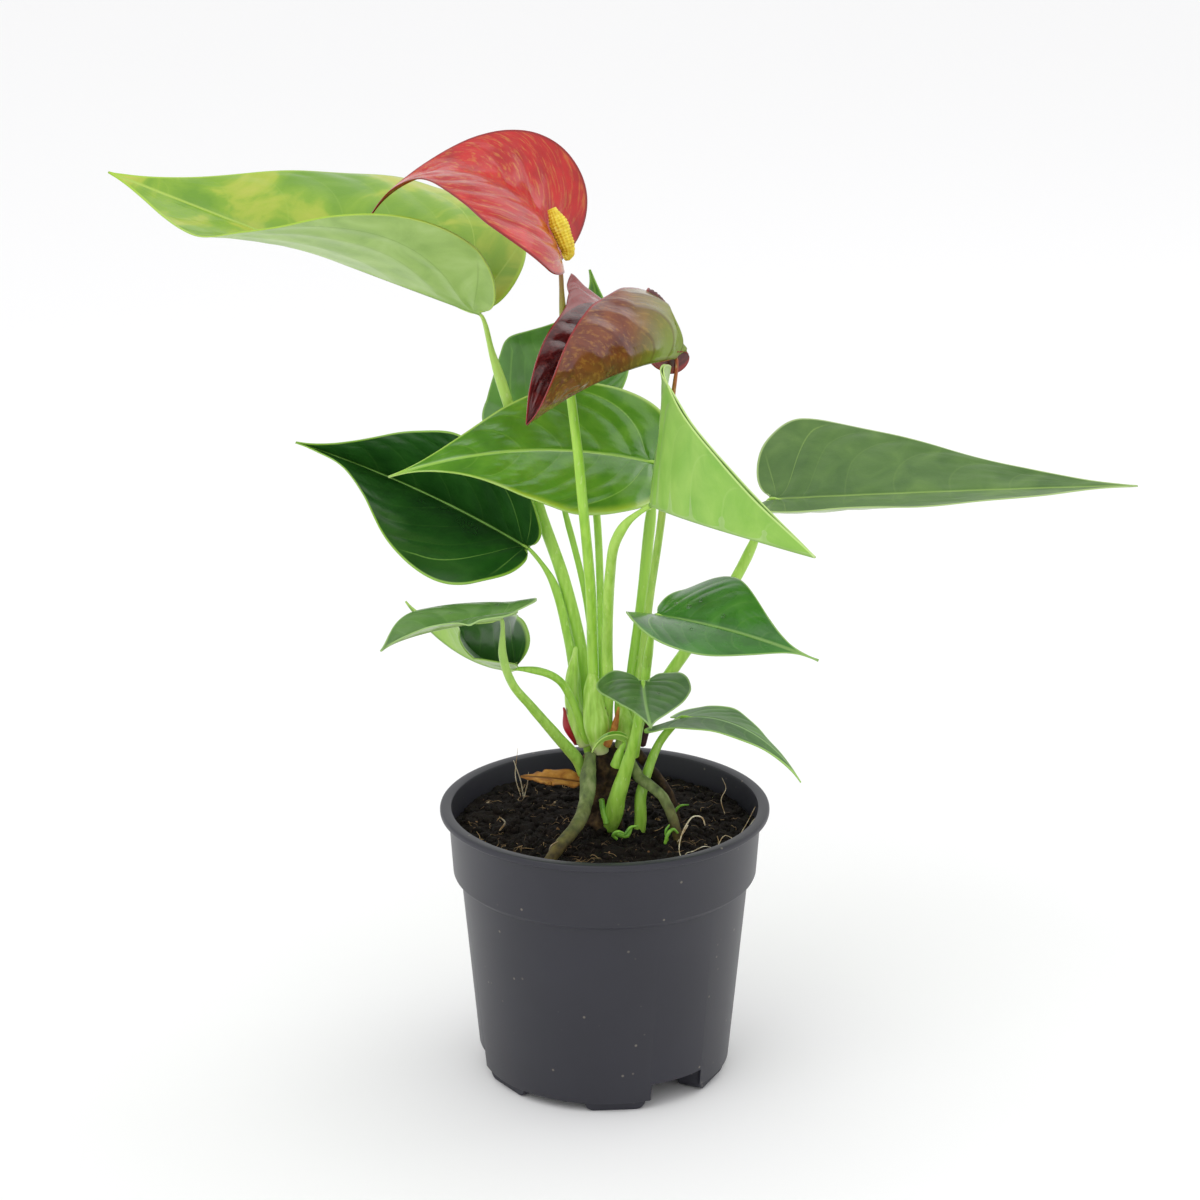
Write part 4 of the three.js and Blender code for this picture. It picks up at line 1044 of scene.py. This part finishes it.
# Each leaf's upper and under side: [tones, vein, rim] and what is special about it.
LEAF_SKINS = {
    "top_left": (
        dict(tones=[(0.32, "#6d9a26"), (0.48, "#83aa2d"), (0.56, "#a3b83c"), (0.7, "#b9be52")],
             vein="#a9c552", rim="#a4c83a", rim_width=1.4, roughness=0.33, patch_mm=22),
        dict(tones=[(0.3, "#8cb054"), (0.55, "#a3c468"), (0.75, "#b2cf7c")], vein="#7da044", rim="#b4d060",
             roughness=0.42, side_strength=0.25),
    ),
    "back": (
        dict(tones=[(0.3, "#4f8034"), (0.55, "#649744"), (0.75, "#7aab4c")], vein="#8ab854", rim="#86b54c",
             tip=("#a9c860", 0.93, 0.99)),
        dict(tones=[(0.3, "#7fa657"), (0.7, "#9cbe71")], vein="#7c9f55", rim="#a8c878"),
    ),
    "centre": (
        dict(tones=[(0.3, "#427a19"), (0.5, "#538c20"), (0.7, "#689e2b")], vein="#9cc858", rim="#a5cb58",
             vein_width=0.65, rim_width=1.2, roughness=0.14, coat=1.0, basal_strength=0.5,
             far_side=("#a9c63c", 0.86, 1.0)),
        dict(tones=[(0.3, "#8fb35c"), (0.7, "#a9c97a")], vein="#8fae5c", rim="#b4d07c"),
    ),
    "front_right": (
        dict(tones=[(0.3, "#7fb440"), (0.7, "#9ac558")], vein="#bcd986", rim="#bcdc80",
             roughness=0.5, coat=0.05),
        dict(tones=[(0.3, "#8cb558"), (0.55, "#9ec46c"), (0.75, "#b0d083")], vein="#86ad52", rim="#c2db92",
             roughness=0.45, side_strength=0.2),
    ),
    "mid_left": (
        dict(tones=[(0.3, "#174412"), (0.55, "#205216"), (0.75, "#2a5d1c")], vein="#7fae50", rim="#8cba3f",
             rim_width=1.0, side_strength=0.06, basal_strength=0.6),
        dict(tones=[(0.3, "#6c9a4a"), (0.7, "#8db465")], vein="#6f964b", rim="#a3c66a"),
    ),
    "right": (
        dict(tones=[(0.3, "#416625"), (0.55, "#527630"), (0.75, "#66883e")], vein="#7f9f4b", rim="#a9c47c",
             roughness=0.38, basal_strength=0.6),
        dict(tones=[(0.3, "#8aa962"), (0.7, "#a6bf7f")], vein="#839f5a", rim="#bccf96"),
    ),
    "lower_right": (
        dict(tones=[(0.3, "#2a6118"), (0.55, "#397722"), (0.75, "#4b872f")], vein="#7aa352", rim="#8db45f",
             roughness=0.25),
        dict(tones=[(0.3, "#7ea35a"), (0.7, "#9abb73")], vein="#7c9d55", rim="#a8c481"),
    ),
    "small_left": (
        dict(tones=[(0.3, "#4d7c36"), (0.7, "#6a9448")], vein="#8db268", rim="#9dc074",
             tip=("#8d9a7c", 0.86, 0.97)),
        dict(tones=[(0.3, "#8fb065"), (0.7, "#adc886")], vein="#85a45c", rim="#b9d094"),
    ),
    "folded_left": (
        dict(tones=[(0.3, "#20501a"), (0.7, "#366426")], vein="#6c9a49", rim="#8fb84c", rim_width=1.6),
        dict(tones=[(0.3, "#82ad45"), (0.7, "#9cc257")], vein="#79a042", rim="#a9cc66"),
    ),
    "front_heart": (
        dict(tones=[(0.3, "#2f5a1c"), (0.55, "#416f29"), (0.75, "#557f38")], vein="#81a95a", rim="#8cb163",
             roughness=0.45, coat=0.1),
        dict(tones=[(0.3, "#7ea35a"), (0.7, "#9abb73")], vein="#7c9d55", rim="#a8c481"),
    ),
    "small_right": (
        dict(tones=[(0.3, "#35631f"), (0.55, "#4a7a2b"), (0.75, "#5f903a")], vein="#83ae58", rim="#a0c86a",
             rim_width=1.2, roughness=0.5, coat=0.08),
        dict(tones=[(0.3, "#7ea35a"), (0.7, "#9abb73")], vein="#7c9d55", rim="#a8c481"),
    ),
}
LEAF_FORMS = {
    "top_left": dict(quilting=0.55, waves=0.9), "centre": dict(quilting=0.35, waves=1.1),
    "front_right": dict(quilting=0.5, waves=0.8), "mid_left": dict(quilting=0.35, waves=0.9),
    "right": dict(quilting=0.5, waves=0.8), "back": dict(quilting=0.35, waves=0.6),
}
for index, (leaf_name, (upper, under)) in enumerate(LEAF_SKINS.items()):
    leaf = LEAVES[leaf_name]
    skins = [leaf_skin(f"{leaf_name}_cuticle", **upper), leaf_skin(f"{leaf_name}_underside", **under)]
    slot = "young_leaf" if leaf_name in ("top_left", "centre", "front_right") else "leaf_green"
    form = LEAF_FORMS.get(leaf_name, dict(quilting=0.22, waves=0.4))
    make_blade(
        f"{leaf_name}_blade", leaf["petiole"][-1], leaf["blade"], skins, slot, f"{leaf_name}_leaf",
        seed=index, **form,
    )

# ---------------------------------------------------------------- stalks
# Each leaf's petiole is round, smooth and juicy green, with a short thickened knee under the blade,
# which it enters from below: it runs on for some way as the root of the midrib.
KNEE_MM = 7
TAIL_MM = 9


def stalk_skin(name, low_tones, high_colour, low_mm, high_mm, roughness=0.34):
    """Smooth green skin with pale streaks, that changes colour toward its top."""
    material, tree, shader = start_material(
        name, Roughness=roughness, IOR=1.42, Coat_Weight=0.2, Coat_Roughness=0.25,
        Subsurface_Weight=0.12, Subsurface_Radius=(0.0015, 0.0025, 0.0006),
    )
    shader.inputs["Subsurface Scale"].default_value = 1
    streaks, streak_noise = wavy_tones(tree, low_tones, 1.6, detail=3, stretch=(1, 1, 9))
    colour = mixed(tree, height_share(tree, low_mm, high_mm), streaks, high_colour)
    flecks, _ = wavy_tones(tree, [(0.68, "#000000"), (0.72, "#ffffff")], 1.1, detail=1, stretch=(1, 1, 3))
    colour = mixed(tree, product(tree, flecks, 0.35), colour, "#d8e6a4")
    tree.links.new(colour, shader.inputs["Base Color"])
    bump_on(tree, shader, streak_noise, 0.15, 0.15)
    return material


def make_stalk(name, points, radii, blade, material, replaced):
    """A stalk that swells at its knee and thins away under the blade's midrib."""
    stations = spine_stations(points[-1], blade)
    tail = []
    for along in (0.4 * TAIL_MM, TAIL_MM):
        centre, _, _, up = spine_frame(stations, blade, along)
        tail.append(centre - up * 0.55)
    stalk_bm = bmesh.new()
    add_stem(
        stalk_bm, [*points, *tail], [*radii[:-1], radii[-1] * 1.08, radii[-1] * 0.55, 0.3],
        sides=24, rings=120, roughness=0.012, grain=4,
    )
    finish_piece(stalk_bm, name, [material], [replaced])


green_stalk = stalk_skin("petiole_skin", [(0.3, "#8abf3c"), (0.6, "#a6d355")], "#a6d256", 60, 120)
pale_stalk = stalk_skin("pale_petiole_skin", [(0.3, "#98c846"), (0.6, "#b0d95f")], "#b4d766", 90, 175)
dull_stalk = stalk_skin("dull_petiole_skin", [(0.3, "#8fbd48"), (0.6, "#a3cd58")], "#97b85a", 62, 92)
STALK_SKINS = {
    "top_left": pale_stalk, "right": pale_stalk, "front_right": pale_stalk, "small_left": dull_stalk,
}
for leaf_name, leaf in LEAVES.items():
    make_stalk(
        f"{leaf_name}_stalk", leaf["petiole"], leaf["radii"], leaf["blade"],
        STALK_SKINS.get(leaf_name, green_stalk), f"{leaf_name}_petiole",
    )

# ---------------------------------------------------------------- youngest, rolled and dried leaves
# A leaf still rolled up like a quill stands at the back. A tiny new leaf opens low at the front on
# a short stalk, and at the left a dead one has dried to a torn brown scrap.
rolled_bm = bmesh.new()
add_stem(
    rolled_bm,
    [(-3, 15, 26), (-4, 17, 56), (-7.5, 19, 83), (-14.5, 22, 111.5), (-19, 25, 128)],
    [1.6, 1.2, 1.2, 1.2, 0.3], sides=24, rings=110, roughness=0.04, grain=5,
)
finish_piece(rolled_bm, "rolled_leaf_quill", [green_stalk], ["rolled_leaf"])

NEW_LEAF = dict(
    length=14, half_width=2.8, lobe=0.5, tip_fullness=0.3, shoulder=0.2, heading=185, rise=28, droop=95,
    veer=0, roll=0, twist=0, left=(40, 0, 20), right=(35, 0, 20),
)
new_stalk_bm = bmesh.new()
add_stem(
    new_stalk_bm, [(4, -9.5, 25), (5.5, -11, 31), (7, -12, 35), (6.2, -12.6, 36.2)], [2.2, 1.8, 1.2, 0.5],
    sides=24, rings=40,
)
finish_piece(new_stalk_bm, "new_leaf_stem", [green_stalk], ["new_leaf_stalk"])
new_skins = [
    leaf_skin("new_leaf_cuticle", [(0.3, "#5d9a26"), (0.7, "#86b83a")], "#b5d46a", "#b5d46a", vein_width=0.35,
              rim_width=0.3, patch_mm=4, roughness=0.2, coat=0.5),
    leaf_skin("new_leaf_underside", [(0.3, "#7fb040"), (0.7, "#9ac45a")], "#b5d46a", "#b5d46a",
              vein_width=0.35, rim_width=0.3, patch_mm=4),
]
make_blade(
    "new_leaf_blade", (7, -12.5, 36), NEW_LEAF, new_skins, "young_leaf", "new_leaf",
    rows=60, columns=24, quilting=0.08, waves=0.1,
)

DRIED_LEAF = dict(
    length=22, half_width=5, lobe=0.5, tip_fullness=0.6, shoulder=0.45, heading=186, rise=12, droop=8,
    veer=0, roll=-25, twist=30, left=(15, -40, 10), right=(25, -20, -20),
)
dried_skin = leaf_skin(
    "dried_leaf_tissue_flat", [(0.28, "#7a4a18"), (0.45, "#a56a28"), (0.6, "#bd8438"), (0.78, "#d2a35c")],
    "#6e4415", "#8a5a22", vein_width=0.5, rim_width=0.5, patch_mm=4, roughness=0.65, coat=0,
)
make_blade(
    "dried_leaf_scrap", (-8.8, -3, 16.5), DRIED_LEAF, [dried_skin, dried_skin], "dry_brown", "dried_leaf",
    rows=90, columns=40, quilting=0.5, waves=0.9, ragged=1.3,
)

# ---------------------------------------------------------------- flowers
# Two waxy spathes, each a coloured bract on a long peduncle with a spadix of tiny yellow flowers. One
# is open and shows its glossy red upper side, with golden flecks along the veins. The other is older
# and has curled back, so that the red-brown and olive underside shows.
FLOWERS = {
    "open": dict(
        peduncle=((-3.5, 1, 33), (-4, -2, 51.5), (-4.5, -5, 71.5), (-4.8, -9, 87), (-6, -15, 106),
            (-7.5, -20, 124), (-9.5, -20, 146), (-12, -16.5, 166.5), (-14.5, -14, 194), (-15.7, -14, 211.8)),
        radii=(2.4, 2.1, 2, 1.9, 1.9, 1.8, 1.8, 1.7, 1.6, 1.5),
        spadix=((-12.6, -14.5, 213.8), (-14.7, -13.7, 221), (-18.2, -12.6, 229)),
        spadix_radius=3.2,
        blade=dict(length=87.4, half_width=36, lobe=5.3, tip_fullness=0.07, shoulder=0.27, heading=166.7,
            rise=76, droop=134, veer=-2, roll=8, twist=-24, left=(17.5, 8, -51), right=(-24, 22, 89)),
    ),
    "curled": dict(
        peduncle=((8.5, 0, 30), (13, 2, 59), (16, 0, 85), (20, -7, 118), (23.5, -11, 161.5),
            (24.5, -12, 176.9)),
        radii=(2.2, 1.6, 1.5, 1.4, 1.4, 1.4),
        spadix=((20.3, -13, 183.6), (14.4, -19, 184), (8.4, -24.7, 183.4)),
        spadix_radius=2.4,
        blade=dict(length=64, half_width=30.8, lobe=21, tip_fullness=0.84, shoulder=0.19, heading=225.3,
            rise=5, droop=38.7, veer=-27, roll=-4, twist=-45, left=(78.6, -8, 104.6),
            right=(20.6, 9.6, -7), back_bend=89, flare_right=0.48),
    ),
}
SPATHE_COLUMNS = 110
SPADIX_SPIRALS = 13
SPADIX_ROWS = 34


def spathe_skin(
    name, tones, fleck, fleck_share, base_tone, rim, crease_shade, roughness=0.22, coat=0.6, crease_shade_share=0.35,
    tip=None,
):
    """The waxy skin of a spathe: flecks follow its veins, and painted shade darkens the hair-fine creases
    along them.
    """
    material, tree, shader = start_material(
        name, Roughness=roughness, IOR=1.45, Coat_Weight=coat, Coat_Roughness=0.12
    )
    mottled, patches = wavy_tones(tree, tones, 12, detail=5, distortion=0.8)
    midrib, side, phase = vein_shares(tree, 0.8)
    along_veins = node(
        tree, "CombineXYZ",
        {"X": product(tree, phase, 4.5), "Y": product(tree, attribute(tree, "across"), 5.5), "Z": 0.5},
    ).outputs[0]
    streaks = node(tree, "TexNoise", {"Vector": along_veins, "Scale": 1.6, "Detail": 5, "Roughness": 0.65})
    streak = streaks.outputs["Fac"]
    colour = mixed(
        tree, product(tree, ramp_share(tree, streak, 0.5, 0.66), fleck_share), mottled, fleck
    )
    base_colour, from_run, to_run = base_tone
    olive = ramp_share(tree, attribute(tree, "run"), from_run, to_run)
    colour = mixed(tree, olive, colour, base_colour)
    if tip:
        colour = mixed(tree, ramp_share(tree, attribute(tree, "run"), *tip[1:]), colour, tip[0])
    # Painted shade: a darker red along the side veins and the midrib stands in for the shade in their sunken
    # creases.
    colour = mixed(tree, product(tree, side, crease_shade_share), colour, crease_shade)
    colour = mixed(tree, product(tree, midrib, crease_shade_share), colour, crease_shade)
    colour = mixed(tree, ramp_share(tree, attribute(tree, "rim"), 1.1, 0.4), colour, rim)
    tree.links.new(colour, shader.inputs["Base Color"])
    bump_on(tree, shader, product(tree, streak, product(tree, patches, 0.6), "ADD"), 0.45, 0.5)
    return material


open_flower = FLOWERS["open"]
open_skins = [
    spathe_skin(
        "open_spathe_wax", [(0.3, "#a30a0d"), (0.55, "#bd1312"), (0.75, "#cc2219")], "#c98436", 0.55,
        ("#b3803a", 0.26, 0.02), "#8f0d10", "#93281a", roughness=0.3, coat=0.45, crease_shade_share=0.22,
    ),
    spathe_skin(
        "open_spathe_back", [(0.3, "#860d0a"), (0.7, "#a81a12")], "#b23a22", 0.3, ("#8f5a26", 0.2, 0.0),
        "#8c1512", "#7a100f", roughness=0.4, coat=0.2,
    ),
]
make_blade(
    "open_spathe_bract", open_flower["peduncle"][-1], open_flower["blade"], open_skins, "spathe_red",
    "open_spathe", rows=170, columns=SPATHE_COLUMNS, quilting=0.7, waves=0.7, seed=21,
)
curled_flower = FLOWERS["curled"]
curled_skins = [
    spathe_skin(
        "curled_spathe_inside", [(0.3, "#3d090b"), (0.6, "#5a1212"), (0.8, "#701a18")], "#8c3a34", 0.4,
        ("#4a1510", 0.2, 0.0), "#8c1a18", "#2e0708",
    ),
    spathe_skin(
        "curled_spathe_wax", [(0.3, "#571f14"), (0.5, "#6f3119"), (0.7, "#87481f")], "#a5702e", 0.6,
        ("#7d9130", 0.5, 0.22), "#8e1512", "#4e1a10", tip=("#9aa63c", 0.97, 0.995),
    ),
]
make_blade(
    "curled_spathe_bract", curled_flower["peduncle"][-1], curled_flower["blade"], curled_skins,
    "spathe_maroon", "curled_spathe", rows=170, columns=SPATHE_COLUMNS, quilting=0.8, waves=0.8, seed=33,
)

spadix_material, tree, shader = start_material(
    "spadix_flowers", Roughness=0.5, Subsurface_Weight=0.15, Subsurface_Radius=(0.002, 0.0015, 0.0005)
)
shader.inputs["Subsurface Scale"].default_value = 1
spadix_colour, spadix_noise = wavy_tones(tree, [(0.3, "#cfae1e"), (0.55, "#e6cf35"), (0.75, "#efe06a")], 2.2)
tree.links.new(spadix_colour, shader.inputs["Base Color"])
bump_on(tree, shader, spadix_noise, 0.3, 0.2)


def flower_lattice(turn, share):
    """The little flowers of a spadix, packed where two families of spirals cross."""
    around, along = SPADIX_SPIRALS * turn / 2, SPADIX_ROWS * math.pi * share / 2
    return 0.085 * math.cos(around + along) * math.cos(around - along)


for flower_name, flower in FLOWERS.items():
    spadix_bm = bmesh.new()
    foot = Vector(flower["peduncle"][-1]).lerp(Vector(flower["spadix"][0]), 0.5)
    radius = flower["spadix_radius"]
    add_stem(
        spadix_bm, [foot, *flower["spadix"]], [0.55 * radius, 0.86 * radius, radius, 0.5 * radius],
        sides=104, rings=150, pattern=flower_lattice,
    )
    finish_piece(
        spadix_bm, f"{flower_name}_spadix_flowers", [spadix_material],
        [f"{flower_name}_spadix"],
    )

open_stalk = stalk_skin("open_peduncle_skin", [(0.3, "#96c941"), (0.6, "#aad850")], "#8f4c34", 168, 212)
curled_stalk = stalk_skin("curled_peduncle_skin", [(0.3, "#94c04c"), (0.6, "#acd060")], "#a8552f", 110, 172)
for flower_name, skin in (("open", open_stalk), ("curled", curled_stalk)):
    flower = FLOWERS[flower_name]
    make_stalk(
        f"{flower_name}_flower_stalk", flower["peduncle"], flower["radii"], flower["blade"], skin,
        f"{flower_name}_peduncle",
    )

# ---------------------------------------------------------------- water drops
# The plant has just been misted: clear beads of water stand on the lower leaves.
DROPS = {
    "lower_right": [(0.3, 0.3, 0.9), (0.36, 0.42, 0.7), (0.22, 0.5, 0.6), (0.5, 0.2, 0.8), (0.42, -0.3, 0.6)],
    "small_left": [(0.3, -0.5, 0.7), (0.45, -0.3, 0.5)],
    "front_heart": [(0.4, 0.3, 0.6), (0.55, -0.25, 0.5)],
}
water_material, tree, shader = start_material(
    "water", Base_Color=(1, 1, 1, 1), Roughness=0.02, IOR=1.33, Transmission_Weight=1.0
)
drops_bm = bmesh.new()
for leaf_name, drops in DROPS.items():
    leaf = LEAVES[leaf_name]
    stations = spine_stations(leaf["petiole"][-1], leaf["blade"])
    for q, s, radius in drops:
        centre, _, _ = blade_point(stations, leaf["blade"], q, s)
        ahead, _, _ = blade_point(stations, leaf["blade"], q + 0.02, s)
        aside, _, _ = blade_point(stations, leaf["blade"], q, s + 0.02)
        normal = (ahead - centre).cross(aside - centre).normalized()
        bead = bmesh.ops.create_icosphere(drops_bm, subdivisions=3, radius=radius * MM)
        turn = normal.to_track_quat("Z", "Y")
        for vert in bead["verts"]:
            flat = Vector((vert.co.x, vert.co.y, vert.co.z * 0.6))
            vert.co = soil_centre + (centre + normal * (SHEET_MM / 2 + 0.35 * radius)) * MM + turn @ flat
finish_piece(drops_bm, "water_drops", [water_material])
